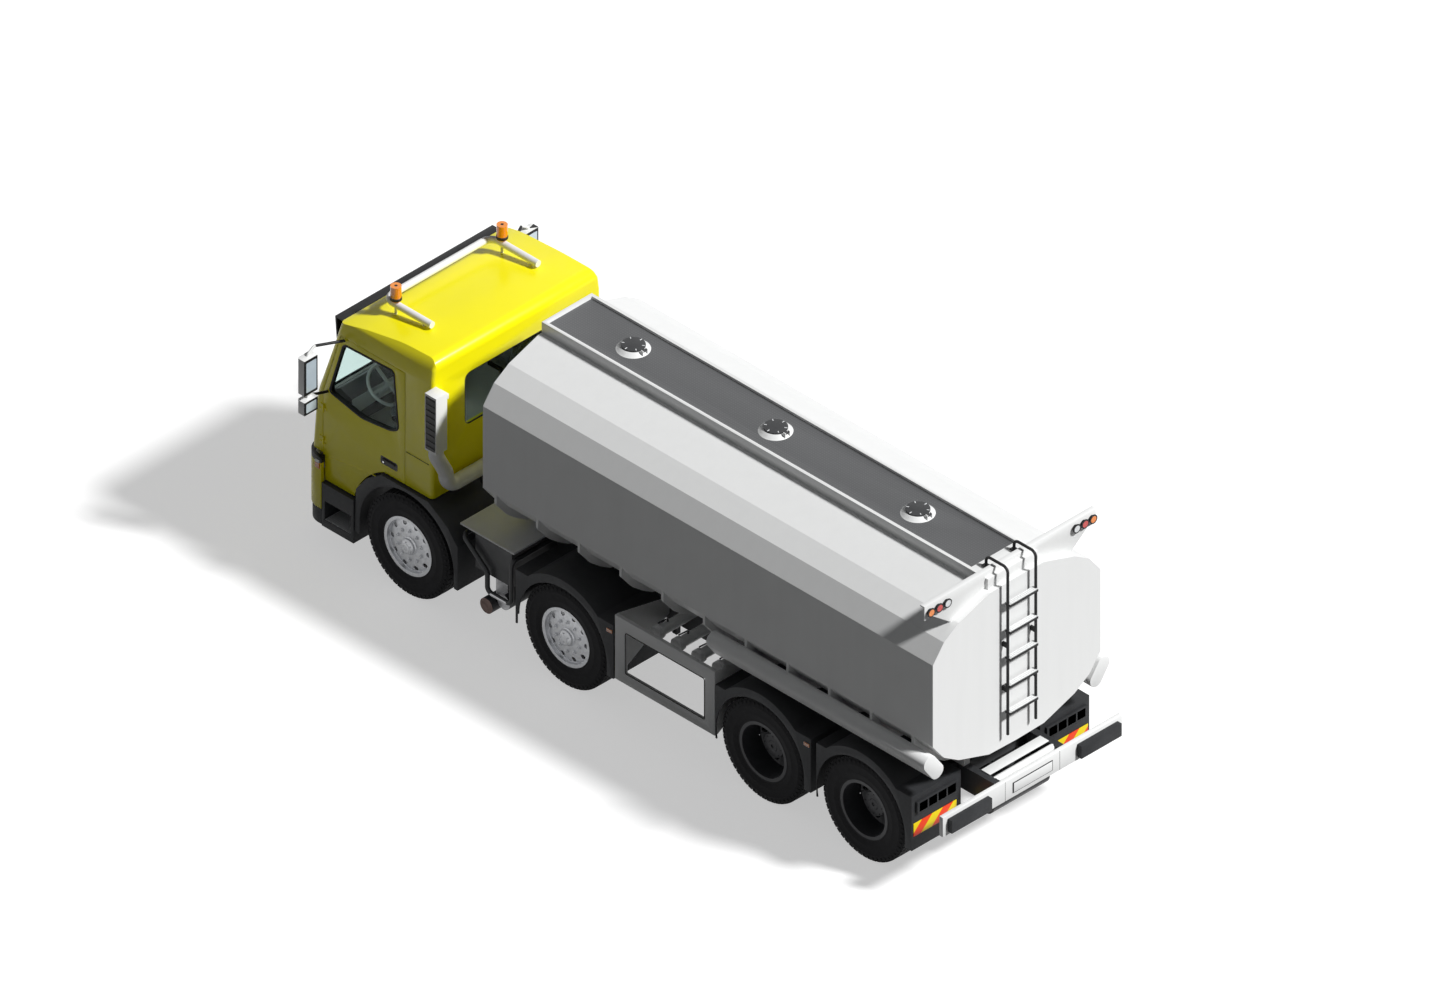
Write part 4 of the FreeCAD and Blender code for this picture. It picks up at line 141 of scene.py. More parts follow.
class Finish:
    """A material with its shader and short ways to add the usual nodes."""

    def __init__(self, name, colour, roughness, metal=0.0, specular=0.5):
        self.colour = colour
        self.rough = roughness
        self.material = bpy.data.materials.new(name)
        self.material.use_nodes = True
        self.tree = self.material.node_tree
        self.shader = self.tree.nodes["Principled BSDF"]
        fill(self.shader, Base_Color=(*colour, 1), Roughness=roughness, Metallic=metal,
             Specular_IOR_Level=specular)
        self.place = self.tree.nodes.new("ShaderNodeTexCoord").outputs["Object"]
        self.height = None

    def node(self, kind, **values):
        """Add one node and set its named sockets."""
        return fill(self.tree.nodes.new("ShaderNode" + kind), **values)

    def pattern(self, kind, **values):
        """A texture laid out in the piece's own space."""
        node = self.node(kind, **values)
        self.tree.links.new(self.place, node.inputs["Vector"])
        return node

    def noise(self, scale, detail=3.0, roughness=0.55, stretch=None):
        """Even mottling at so many spots to the metre, drawn out along an axis if asked."""
        node = self.node("TexNoise", Scale=scale, Detail=detail, Roughness=roughness)
        source = self.place
        if stretch:
            mapping = self.node("Mapping", Scale=stretch)
            self.tree.links.new(source, mapping.inputs["Vector"])
            source = mapping.outputs["Vector"]
        self.tree.links.new(source, node.inputs["Vector"])
        return node.outputs["Fac"]

    def ramp(self, factor, low, high, start=0.3, end=0.7):
        """A run from one colour to another."""
        node = self.node("ValToRGB")
        node.color_ramp.elements[0].position = start
        node.color_ramp.elements[0].color = (*low, 1)
        node.color_ramp.elements[1].position = end
        node.color_ramp.elements[1].color = (*high, 1)
        self.tree.links.new(factor, node.inputs["Fac"])
        return node.outputs["Color"]

    def span(self, factor, low, high):
        """A number that follows a factor between two limits."""
        node = self.node("MapRange", From_Min=0.25, From_Max=0.75, To_Min=low, To_Max=high)
        self.tree.links.new(factor, node.inputs["Value"])
        return node.outputs["Result"]

    def drive(self, socket, source):
        """Link a source to one of the shader's sockets."""
        self.tree.links.new(source, self.shader.inputs[socket])

    def tones(self, factor, low, high, start=0.3, end=0.7):
        """Vary the surface between two shares of its colour."""
        colours = (shade(self.colour, low), shade(self.colour, high))
        self.drive("Base Color", self.ramp(factor, *colours, start, end))

    def gloss(self, factor, low, high):
        """Vary the roughness between two shares of it."""
        self.drive("Roughness", self.span(factor, self.rough * low, self.rough * high))

    def clear_coat(self, weight, roughness):
        """Lay a clear coat over the surface."""
        fill(self.shader, Coat_Weight=weight, Coat_Roughness=roughness)

    def bump(self, factor, distance, strength=1.0):
        """Raise the surface by a factor, over any bump already there."""
        node = self.node("Bump", Distance=distance, Strength=strength)
        self.tree.links.new(factor, node.inputs["Height"])
        if self.height is not None:
            self.tree.links.new(self.height, node.inputs["Normal"])
        self.height = node.outputs["Normal"]
        self.drive("Normal", self.height)


def shade(colour, share):
    """A colour made darker or lighter by a share."""
    return tuple(min(1.0, part * share) for part in colour)


def paint(name, colour, roughness=0.35, coat=0.25, low=0.97, high=1.01):
    """Sprayed enamel: a faint mottle in its colour and a fine ripple in its gloss."""
    finish = Finish(name, colour, roughness, specular=0.25)
    finish.tones(finish.noise(2.3), low, high)
    finish.gloss(finish.noise(9.0), 0.85, 1.2)
    finish.clear_coat(coat, 0.15)
    finish.bump(finish.noise(260.0, 2.0), 0.0002, 0.25)
    return finish.material


def sheet_metal(name, colour, roughness=0.42):
    """White paint on rolled sheet: broad waves, faint streaks from rain, and a fine ripple."""
    finish = Finish(name, colour, roughness, specular=0.2)
    finish.tones(finish.noise(1.0, 4.0, stretch=(9.0, 9.0, 0.8)), 0.98, 1.0, 0.25, 0.6)
    finish.gloss(finish.noise(5.0), 0.8, 1.2)
    finish.bump(finish.noise(1.3, 1.0), 0.004, 0.15)
    finish.bump(finish.noise(300.0, 2.0), 0.0002, 0.2)
    return finish.material


def moulded(name, colour, roughness=0.6, grain=700.0, specular=0.22):
    """Moulded plastic with a fine leathery grain."""
    finish = Finish(name, colour, roughness, specular=specular)
    finish.tones(finish.noise(6.0), 0.85, 1.15)
    finish.gloss(finish.noise(30.0), 0.9, 1.1)
    finish.bump(finish.noise(grain, 2.0), 0.0004, 0.5)
    return finish.material


def cast(name, colour, roughness=0.6):
    """Rough castings and forgings under black chassis paint, with dust on them."""
    finish = Finish(name, colour, roughness, 0.2, 0.25)
    finish.tones(finish.noise(14.0, 6.0), 0.7, 1.4)
    finish.bump(finish.noise(180.0, 5.0), 0.0008, 0.6)
    return finish.material


def metal(name, colour, roughness=0.3, stretch=(4.0, 4.0, 300.0), metallic=1.0):
    """Bare metal drawn one way, so that its fine lines follow that way."""
    finish = Finish(name, colour, roughness, metallic)
    factor = finish.noise(1.0, 4.0, stretch=stretch)
    finish.tones(factor, 0.85, 1.1)
    finish.gloss(factor, 0.8, 1.3)
    finish.bump(factor, 0.0002, 0.3)
    return finish.material


def rubber(name, colour, roughness=0.8):
    """Dusty black rubber."""
    finish = Finish(name, colour, roughness, specular=0.15)
    finish.tones(finish.noise(11.0, 5.0), 0.75, 1.7)
    finish.bump(finish.noise(420.0, 3.0), 0.0003, 0.5)
    return finish.material


def lens(name, colour, roughness=0.15, rib=55.0):
    """A clear moulded lens over a ribbed back."""
    finish = Finish(name, colour, roughness)
    ribs = finish.pattern("TexWave", Scale=rib, Distortion=0.0)
    ribs.bands_direction = "DIAGONAL"
    finish.tones(ribs.outputs["Fac"], 0.7, 1.1, 0.1, 0.9)
    finish.clear_coat(0.6, 0.05)
    finish.bump(ribs.outputs["Fac"], 0.0006, 0.4)
    return finish.material


def pane(name, colour):
    """Thin tinted safety glass whose gloss varies a little."""
    finish = Finish(name, colour, 0.04)
    finish.drive("Roughness", finish.span(finish.noise(5.0), 0.02, 0.07))
    fill(finish.shader, Transmission_Weight=1.0, IOR=1.1)
    return finish.material


def woven(name, colour):
    """Woven seat cloth."""
    finish = Finish(name, colour, 0.9, specular=0.2)
    weave = finish.pattern("TexWave", Scale=260.0, Distortion=1.5)
    finish.tones(weave.outputs["Fac"], 0.7, 1.4)
    fill(finish.shader, Sheen_Weight=0.3)
    finish.bump(weave.outputs["Fac"], 0.0006, 0.6)
    return finish.material


def tread_plate(name, colour, pitch=34.0):
    """Painted plate with rows of raised studs against slipping."""
    finish = Finish(name, colour, 0.55, specular=0.3)
    spot = finish.pattern("TexVoronoi", Scale=pitch, Randomness=0.0).outputs["Distance"]
    finish.tones(spot, 1.35, 0.92, 0.15, 0.35)
    finish.bump(finish.span(spot, 1.0, 0.0), 0.0015, 0.7)
    return finish.material


def pierced(name, colour, painted_hole_light_and_shade, pitch=42.0):
    """A black panel pierced in even rows, the holes filled with a painted colour: painted light showing
    through where it is lighter than the panel, painted shade where it is darker.
    """
    finish = Finish(name, colour, 0.5, specular=0.2)
    spot = finish.pattern("TexVoronoi", Scale=pitch, Randomness=0.0).outputs["Distance"]
    # The holes get the painted hole colour: painted light for the louvre, painted shade for the grille mesh.
    finish.drive("Base Color", finish.ramp(spot, painted_hole_light_and_shade, colour, 0.2, 0.3))
    finish.bump(finish.span(spot, 0.0, 1.0), 0.002, 0.8)
    return finish.material


def banded(name, first, second, width):
    """Warning stripes that slant across a plate."""
    finish = Finish(name, first, 0.4, specular=0.35)
    bands = finish.pattern("TexWave", Scale=width, Distortion=0.0)
    bands.bands_direction = "DIAGONAL"
    finish.drive("Base Color", finish.ramp(bands.outputs["Fac"], first, second, 0.48, 0.52))
    finish.bump(finish.noise(900.0, 1.0), 0.0002, 0.3)
    return finish.material


LOOKS = {
    "cab_yellow": (paint, (0.92, 0.83, 0.003), 0.35, 0.15, 0.985, 1.01),
    "tank_white": (sheet_metal, (0.82, 0.825, 0.82)),
    "part_white": (paint, (0.80, 0.805, 0.80), 0.4, 0.15),
    "frame_grey": (paint, (0.76, 0.765, 0.76), 0.42, 0.15),
    "inner_grey": (paint, (0.42, 0.43, 0.43), 0.5, 0.1),
    "walk_grey": (tread_plate, (0.105, 0.107, 0.11)),
    "walk_white": (tread_plate, (0.62, 0.63, 0.63)),
    "deck_grey": (tread_plate, (0.85, 0.86, 0.86), 30.0),
    "step_tread": (tread_plate, (0.62, 0.63, 0.63), 46.0),
    "chassis_black": (paint, (0.028, 0.029, 0.031), 0.5, 0.1, 0.8, 1.2),
    "guard_black": (moulded, (0.024, 0.025, 0.027), 0.6),
    "trim_black": (moulded, (0.014, 0.014, 0.015), 0.45, 900.0),
    "lid_black": (moulded, (0.035, 0.036, 0.038), 0.5, 500.0, 0.3),
    "rim_grey": (metal, (0.60, 0.61, 0.63), 0.38, (30.0, 30.0, 30.0), 0.55),
    "rim_dark": (paint, (0.045, 0.046, 0.05), 0.45, 0.15),
    "casting": (cast, (0.035, 0.036, 0.038)),
    "brown_end": (cast, (0.22, 0.15, 0.13), 0.5),
    "tank_alloy": (metal, (0.62, 0.63, 0.65), 0.3, (300.0, 4.0, 4.0)),
    "bright_steel": (metal, (0.70, 0.71, 0.72), 0.22),
    "dull_steel": (metal, (0.36, 0.36, 0.37), 0.42, (40.0, 40.0, 40.0)),
    "mirror_glass": (metal, (0.62, 0.72, 0.80), 0.12, (2.0, 2.0, 2.0), 0.25),
    "tyre_rubber": (rubber, (0.013, 0.013, 0.014)),
    "seal_rubber": (rubber, (0.008, 0.008, 0.008), 0.6),
    "lamp_red": (lens, (0.62, 0.015, 0.01)),
    "lamp_amber": (lens, (0.95, 0.24, 0.006)),
    "lamp_clear": (lens, (0.75, 0.77, 0.78)),
    "lamp_smoke": (lens, (0.045, 0.030, 0.030), 0.25, 40.0),
    "lamp_bright": (lens, (0.80, 0.82, 0.84), 0.06, 30.0),
    "beacon_amber": (lens, (0.95, 0.27, 0.004), 0.1, 90.0),
    "cab_glass_tint": (pane, (0.74, 0.84, 0.82)),
    "seat_cloth": (woven, (0.05, 0.055, 0.06)),
    "headliner": (woven, (0.42, 0.42, 0.40)),
    # Louvre holes: painted light, a grey that stands for light seen through the black panel.
    "louvre": (pierced, (0.012, 0.012, 0.013), (0.30, 0.30, 0.30), 52.0),
    # Grille mesh holes: painted shade, darker than the black mesh around them.
    "grille_mesh": (pierced, (0.02, 0.02, 0.021), (0.002, 0.002, 0.002), 70.0),
    "warning": (banded, (0.80, 0.62, 0.004), (0.80, 0.050, 0.006), 2.2),
}
FINISHES = {name: make(name, *values) for name, (make, *values) in LOOKS.items()}

NODE_FINISHES = {
    "tank_white": ("tank",),
    "part_white": ("tank_cradles", "pipework"),
    "chassis_black": ("chassis_frame",),
    "casting": ("engine", "driveline", "axle_first", "axle_second", "axle_third", "axle_fourth",
                "knuckle_first_left", "knuckle_first_right", "knuckle_second_left",
                "knuckle_second_right"),
    "beacon_amber": ("beacons",),
    "cab_glass_tint": ("cab_glass", "door_glass_left", "door_glass_right"),
}


# Modelling steps.

WELD = 0.0001
TUBE_WELD = 0.00005
SHARP_ANGLE = 35
ROD_SHARP_ANGLE = 50
SMOOTH_ANGLE = 30
TREAD_ANGLE = 25
CUSHION_ANGLE = 60
FLAT_ANGLE = 1
BEND_STEPS = 6
CORNER_STEPS = 5
FORWARD = (90, "Z")
BACKWARD = (-90, "Z")
UPWARD = (-90, "X")


def clear():
    """Leave nothing selected."""
    bpy.ops.object.select_all(action="DESELECT")


def pick(piece):
    """Make one piece the only one selected."""
    clear()
    piece.select_set(True)
    bpy.context.view_layer.objects.active = piece


def settle():
    """Write the active piece's place, turn and scale into its mesh."""
    bpy.ops.object.transform_apply(location=True, rotation=True, scale=True)


def apply(kind, **values):
    """Add one modifier to the active piece and apply it."""
    bpy.ops.object.modifier_add(type=kind)
    modifier = bpy.context.object.modifiers[-1]
    for name, value in values.items():
        setattr(modifier, name, value)
    bpy.ops.object.modifier_apply(modifier=modifier.name)


def soften(width, angle=SHARP_ANGLE, segments=2):
    """Round the active piece's sharp edges."""
    apply("BEVEL", width=width, segments=segments, limit_method="ANGLE", angle_limit=math.radians(angle))


def edit():
    """Open the active piece's mesh with all of it selected."""
    bpy.ops.object.mode_set(mode="EDIT")
    bpy.ops.mesh.select_all(action="SELECT")


def leave():
    """Close the mesh."""
    bpy.ops.object.mode_set(mode="OBJECT")


def outward():
    """Turn every face of the open mesh outwards."""
    bpy.ops.mesh.select_all(action="SELECT")
    bpy.ops.mesh.normals_make_consistent(inside=False)


def weld(distance=WELD):
    """Merge the open mesh's doubled corners and turn its faces outwards."""
    bpy.ops.mesh.select_all(action="SELECT")
    bpy.ops.mesh.remove_doubles(threshold=distance)
    outward()


def trace(name, points):
    """A line of edges through points, left selected in edit mode."""
    clear()
    bpy.ops.mesh.primitive_plane_add(size=1, location=(0, 0, 0))
    piece = bpy.context.object
    piece.name = name
    edit()
    bpy.ops.mesh.merge(type="CENTER")
    bpy.ops.transform.translate(value=points[0])
    for before, after in zip(points, points[1:]):
        step = [b - a for a, b in zip(before, after)]
        bpy.ops.mesh.extrude_region_move(TRANSFORM_OT_translate={"value": step})
    bpy.ops.mesh.select_all(action="SELECT")
    return piece


def lathe(name, profile, steps):
    """A profile of radius and distance across, spun round the Y axis."""
    piece = trace(name, [(0, across, radius) for radius, across in profile])
    bpy.ops.mesh.spin(steps=steps, angle=2 * math.pi, center=(0, 0, 0), axis=(0, 1, 0))
    weld()
    leave()
    return piece


def ringed(piece, count):
    """Repeat a piece round the Y axis, within its own mesh."""
    pick(piece)
    edit()
    bpy.ops.mesh.spin(steps=count, angle=2 * math.pi, center=(0, 0, 0), axis=(0, 1, 0), dupli=True)
    weld()
    leave()
    return piece


def cube(name, x, y, z, edge=0.0):
    """A block between limits along each axis, with its edges rounded."""
    clear()
    bpy.ops.mesh.primitive_cube_add(size=1, location=(0, 0, 0))
    piece = bpy.context.object
    piece.name = name
    bpy.ops.transform.resize(value=(x[1] - x[0], y[1] - y[0], z[1] - z[0]))
    bpy.ops.transform.translate(value=((x[0] + x[1]) / 2, (y[0] + y[1]) / 2, (z[0] + z[1]) / 2))
    settle()
    if edge:
        soften(edge)
    return piece


def rod(name, start, end, radius, sides=20, edge=0.0):
    """A round bar between two points."""
    clear()
    run = Vector(end) - Vector(start)
    bpy.ops.mesh.primitive_cylinder_add(
        vertices=sides, radius=radius, depth=run.length, location=(Vector(start) + Vector(end)) / 2,
        rotation=run.to_track_quat("Z", "Y").to_euler())
    piece = bpy.context.object
    piece.name = name
    settle()
    if edge:
        soften(edge, ROD_SHARP_ANGLE)
    return piece


def tube(name, points, radius, bend=0.0):
    """A round pipe along points, with its corners swept to a radius."""
    piece = trace(name, points)
    if bend:
        bpy.ops.mesh.bevel(offset=bend, affect="VERTICES", segments=BEND_STEPS)
    leave()
    bpy.ops.object.convert(target="CURVE")
    curve = bpy.context.object
    curve.data.bevel_depth = radius
    curve.data.bevel_resolution = 3
    curve.data.use_fill_caps = True
    bpy.ops.object.convert(target="MESH")
    edit()
    weld(TUBE_WELD)
    leave()
    return bpy.context.object


def plate(name, outline, push, edge=0.0, rounding=0.0, rim=0.0):
    """An outline with rounded corners pushed out to a plate, or to a ring of a rim's width."""
    piece = trace(name, outline)
    bpy.ops.mesh.edge_face_add()
    if rounding:
        bpy.ops.mesh.bevel(offset=rounding, affect="VERTICES", segments=CORNER_STEPS)
    bpy.ops.mesh.select_all(action="SELECT")
    if rim:
        bpy.ops.mesh.inset(thickness=rim, depth=0)
        bpy.ops.mesh.delete(type="FACE")
        bpy.ops.mesh.select_all(action="SELECT")
    bpy.ops.mesh.extrude_region_move(TRANSFORM_OT_translate={"value": push})
    outward()
    leave()
    if edge:
        soften(edge)
    return piece


def copy_of(piece, name, move=(0, 0, 0)):
    """Another piece with its own mesh, moved."""
    pick(piece)
    bpy.ops.object.duplicate()
    twin = bpy.context.object
    twin.name = name
    bpy.ops.transform.translate(value=move)
    settle()
    return twin


def mirror_of(piece, name):
    """The same piece for the truck's other side, with its own mesh."""
    pick(piece)
    bpy.ops.object.duplicate()
    twin = bpy.context.object
    twin.name = name
    bpy.ops.transform.resize(value=(1, -1, 1), center_override=(0, 0, 0))
    settle()
    edit()
    outward()
    leave()
    return twin


def for_side(piece, out, name):
    """The piece itself on the left, or on the right its mirror image under another name."""
    if out > 0:
        return piece
    other = mirror_of(piece, name)
    bpy.data.objects.remove(piece)
    return other


def turn(piece, angle, axis, centre):
    """Turn a piece about an axis through a point."""
    pick(piece)
    bpy.ops.transform.rotate(value=math.radians(angle), orient_axis=axis, center_override=centre)
    settle()
    return piece


def turned(name, profile, steps, facing, spot):
    """A spun profile whose far end faces a way, set at its spot."""
    form = turn(lathe(name + "_form", profile, steps), *facing, (0, 0, 0))
    piece = copy_of(form, name, spot)
    bpy.data.objects.remove(form)
    return piece


def facing_x(x, y, z):
    """The corners of a rectangle at one place along the truck, between limits across and upwards."""
    return [(x, y[0], z[0]), (x, y[1], z[0]), (x, y[1], z[1]), (x, y[0], z[1])]


def facing_y(x, y, z):
    """The corners of a rectangle at one place across the truck, between limits along and upwards."""
    return [(x[0], y, z[0]), (x[1], y, z[0]), (x[1], y, z[1]), (x[0], y, z[1])]


def about(middle, half):
    """Limits at the same distance from a middle."""
    return (middle - half, middle + half)


def join(pieces, name):
    """Make several pieces one mesh."""
    clear()
    for piece in pieces:
        piece.select_set(True)
    bpy.context.view_layer.objects.active = pieces[0]
    bpy.ops.object.join()
    bpy.context.object.name = name
    return bpy.context.object


def give(piece, finish):
    """Put one finish on the whole of a piece."""
    piece.data.materials.clear()
    piece.data.materials.append(FINISHES[finish])
    return piece


def tint(piece, finish, test):
    """Put another finish on the faces whose centre and normal pass a test."""
    piece.data.materials.append(FINISHES[finish])
    slot = len(piece.data.materials) - 1
    for face in piece.data.polygons:
        if test(face.center, face.normal):
            face.material_index = slot


def dress(piece, finish=None, body="chassis", angle=SMOOTH_ANGLE):
    """Finish a piece, smooth its curves and fix it to its body."""
    if finish:
        give(piece, finish)
    pick(piece)
    bpy.ops.object.shade_smooth_by_angle(angle=math.radians(angle))
    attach(piece, body)
    return piece


def bare_copy(node, name):
    """The CAD node's own shape as a new piece, with its flat faces made whole."""
    pick(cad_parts[node])
    bpy.ops.object.duplicate()
    piece = bpy.context.object
    piece.name = name
    for key in list(piece.keys()):
        del piece[key]
    piece.parent = None
    bpy.ops.mesh.customdata_custom_splitnormals_clear()
    edit()
    bpy.ops.mesh.remove_doubles(threshold=WELD)
    bpy.ops.mesh.dissolve_limited(angle_limit=math.radians(FLAT_ANGLE))
    leave()
    return piece


def skin(node, width, finish, body="chassis", segments=2, tints=()):
    """The CAD node's own shape, rounded and finished, in its stead; tints are for some of its faces."""
    piece = bare_copy(node, node + "_skin")
    if width:
        soften(width, segments=segments)
    give(piece, finish)
    for other, test in tints:
        tint(piece, other, test)
    dress(piece, body=body)
    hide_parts(node)
    return piece


def block(name, finish, x, y, z, edge=0.0, body="chassis"):
    """A finished block on its body."""
    dress(cube(name, x, y, z, edge), finish, body)


def paired(name, finish, x, y, z, edge=0.0):
    """The same block on both sides of the truck, from the left one's limits."""
    for side, out in SIDES.items():
        block(f"{name}_{side}", finish, x, sorted(out * across for across in y), z, edge)


# Wheels.

TYRE_SECTION = (
    (0.3005, 0.1265), (0.312, 0.1375), (0.330, 0.1405), (0.340, 0.1385), (0.352, 0.1435), (0.392, 0.1480),
    (0.398, 0.1495), (0.404, 0.1482), (0.440, 0.1492), (0.480, 0.1480), (0.486, 0.1492), (0.492, 0.1470),
    (0.520, 0.1400), (0.540, 0.1320), (0.546, 0.1270), (0.546, 0.0780), (0.560, 0.0760), (0.5605, 0.0360),
    (0.546, 0.0340), (0.546, 0.0240), (0.5609, 0.0220),
)
TYRE_STEPS = 72
LUG_COUNT = 54
LUG_LENGTH = 0.053
SINGLE_TRACK = 1.026
TWIN_TRACKS = (1.026, 0.688)
NUT_CIRCLE = 0.1675
NUT_COUNT = 10
VALVE_STEM = ((0.236, 0.02), (0.236, 0.100), (0.222, 0.135))


def tyre_form():
    """One tyre with ribs, grooves, shoulder lugs and sidewall rings, centred at the origin."""
    mirrored = [(radius, -across) for radius, across in reversed(TYRE_SECTION)]
    body = lathe("tyre_form", list(TYRE_SECTION) + mirrored + [TYRE_SECTION[0]], TYRE_STEPS)
    parts = [body]
    for index, (low, high) in enumerate(((0.083, 0.1285), (-0.1285, -0.083))):
        lug = cube(f"lug_{index}", (-LUG_LENGTH / 2, LUG_LENGTH / 2), (low, high), (0.540, 0.5590))
        parts.append(ringed(lug, LUG_COUNT))
    for index, across in enumerate((0.1415, -0.1415)):
        rib = cube(f"rib_{index}", (-0.007, 0.007), (across - 0.004, across + 0.004), (0.505, 0.535))
        parts.append(ringed(rib, LUG_COUNT))
    return join(parts, "tyre_form")


def add_tyres():
    """Tyres with their tread in place of the plain ones."""
    form = tyre_form()
    for axle, forward in AXLES.items():
        for side, out in SIDES.items():
            body = f"wheel_{axle}_{side}"
            if axle in STEERED:
                tyre = copy_of(form, f"tread_{axle}_{side}", (forward, out * SINGLE_TRACK, WHEEL_HEIGHT))
                dress(tyre, "tyre_rubber", body, TREAD_ANGLE)
                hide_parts(f"tyre_{axle}_{side}")
                continue
            pair = [copy_of(form, f"tread_{axle}_{side}_{index}", (forward, out * track, WHEEL_HEIGHT))
                    for index, track in enumerate(TWIN_TRACKS)]
            tyre = dress(join(pair, f"treads_{axle}_{side}"), "tyre_rubber", body, TREAD_ANGLE)
            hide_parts(f"tyres_{axle}_{side}")
    bpy.data.objects.remove(form)


def nut_ring(name, face, radius, count, size):
    """Hexagon nuts on washers and studs in a ring, standing on a disc's face."""
    nut = rod(name, (0, face, radius), (0, face + size * 0.9, radius), size, 6, size * 0.08)
    washer = rod(name + "_washer", (0, face - 0.002, radius), (0, face + 0.003, radius), size * 1.25, 16)
    stud = rod(name + "_stud", (0, face, radius), (0, face + size * 1.5, radius), size * 0.5, 10, 0.001)
    return ringed(join([nut, washer, stud], name), count)


def front_fittings():
    """Nuts, hub bolts and cap of a steered wheel, from the tyre's middle outwards."""
    parts = [
        nut_ring("wheel_nuts", 0.112, NUT_CIRCLE, NUT_COUNT, 0.0185),
        nut_ring("cap_bolts", 0.1705, 0.066, 6, 0.007),
        lathe("hub_collar", [(0.060, 0.110), (0.098, 0.110), (0.098, 0.118), (0.092, 0.124), (0.088, 0.128),
                             (0.060, 0.128), (0.060, 0.110)], 40),
        lathe("cap_ring", [(0.030, 0.168), (0.050, 0.168), (0.050, 0.176), (0.046, 0.1775), (0.034, 0.1775),
                           (0.030, 0.168)], 32),
    ]
    return join(parts, "front_fittings")


def rear_fittings():
    """Nuts and hub cap of a twin wheel, from the hub's middle outwards."""
    parts = [
        nut_ring("twin_nuts", 0.045, NUT_CIRCLE, NUT_COUNT, 0.0185),
        nut_ring("shaft_bolts", 0.1690, 0.110, 8, 0.009),
        lathe("shaft_flange", [(0.020, 0.160), (0.128, 0.160), (0.128, 0.1715), (0.122, 0.1735),
                               (0.060, 0.1735), (0.052, 0.1800), (0.020, 0.1800), (0.020, 0.160)], 40),
    ]
    return join(parts, "rear_fittings")


def add_rims():
    """Painted rims with their nuts."""
    front = front_fittings()
    rear = rear_fittings()
    for axle, forward in AXLES.items():
        steered = axle in STEERED
        form = front if steered else rear
        track = SINGLE_TRACK if steered else sum(TWIN_TRACKS) / 2
        for side, out in SIDES.items():
            body = f"wheel_{axle}_{side}"
            name = ("rim_" if steered else "rims_") + f"{axle}_{side}"
            finish = "rim_grey" if steered else "rim_dark"
            skin(name, 0.0015, finish, body, 1)
            fittings = copy_of(form, f"fittings_{axle}_{side}", (forward, track, WHEEL_HEIGHT))
            dress(for_side(fittings, out, fittings.name + "_right"), finish, body)
            stem = [(forward + ahead, out * (track + away), WHEEL_HEIGHT) for ahead, away in VALVE_STEM]
            dress(tube(f"valve_{axle}_{side}", stem, 0.004, 0.01), "bright_steel", body)
    bpy.data.objects.remove(front)
    bpy.data.objects.remove(rear)


# Cab.

CAB_SIDE = 1.148
WAIST = 1.647
SIDE_LEAN = ((0.0, CAB_SIDE), (WAIST, CAB_SIDE), (1.800, 1.1475), (2.388, 1.146), (2.600, 1.143),
             (2.740, 1.124))
ROOM_LOW = Vector((2.75, -1.110, 1.29))
ROOM_HIGH = Vector((4.36, 1.110, 2.80))
ROOM_MIDDLE = Vector((3.4, 0, 1.95))
DOOR_WINDOW = ((3.204, 2.506), (3.141, 1.849), (3.244, 1.794), (3.633, 1.745), (4.077, 1.839), (3.884, 2.481))
DOOR_CREASE = ((4.096, 1.058), (3.581, 1.147), (3.100, 1.170))
WINDSCREEN = ((1.010, 4.266, 1.700), (1.001, 4.247, 1.800), (0.950, 4.056, 2.362))
BUMPER_BAND = 0.985
NOSE = 4.0
MIRROR_INNER = 1.40
GRILLE_BARS = 5
GRILLE_PITCH = 0.055
WIPERS = (-0.62, 0.08)
HEADLAMP_SIDES = (0.763, 1.007)
HEADLAMP_HEIGHTS = (0.703, 0.897)


def side_plane(height):
    """Where the cab's left wall stands at a height, leaning in above the waist."""
    for (low, first), (high, second) in zip(SIDE_LEAN, SIDE_LEAN[1:]):
        if height <= high:
            return first + (second - first) * (height - low) / (high - low)
    return SIDE_LEAN[-1][1]


def on_side(points, lift=0.0):
    """Points of the left wall from (forward, height), lifted off it."""
    return [(x, side_plane(z) + lift, z) for x, z in points]


def inside_cab(centre, normal):
    """Whether a face of the cab's shell looks into the cab."""
    if any(not low < place < high for low, place, high in zip(ROOM_LOW, centre, ROOM_HIGH)):
        return False
    return (ROOM_MIDDLE - centre).dot(normal) > 0


def in_door_window(centre, normal):
    """Whether a face of a door lines its window's opening."""
    return abs(normal.y) < 0.8 and 3.13 < centre.x < 4.09 and 1.74 < centre.z < 2.515


def add_cab_skins():
    """Painted shell and doors, grey inside, and the bumper with its black top band."""
    skin("cab_shell", 0.006, "cab_yellow", "cab", tints=[("headliner", inside_cab)])
    for side, out in SIDES.items():
        skin(f"door_{side}", 0.004, "cab_yellow", f"door_{side}", tints=[
            ("inner_grey", lambda centre, normal: normal.y * out < -0.5), ("seal_rubber", in_door_window)])
    bumper = skin("front_bumper", 0.006, "cab_yellow")
    pick(bumper)
    edit()
    bpy.ops.mesh.bisect(plane_co=(0, 0, BUMPER_BAND), plane_no=(0, 0, 1))
    leave()
    tint(bumper, "trim_black", lambda centre, normal: centre.z > BUMPER_BAND)


def looped(corners):
    """A closed path that starts and ends in the middle of its last side."""
    start = tuple((a + b) / 2 for a, b in zip(corners[-1], corners[0]))
    return [start, *corners, start]


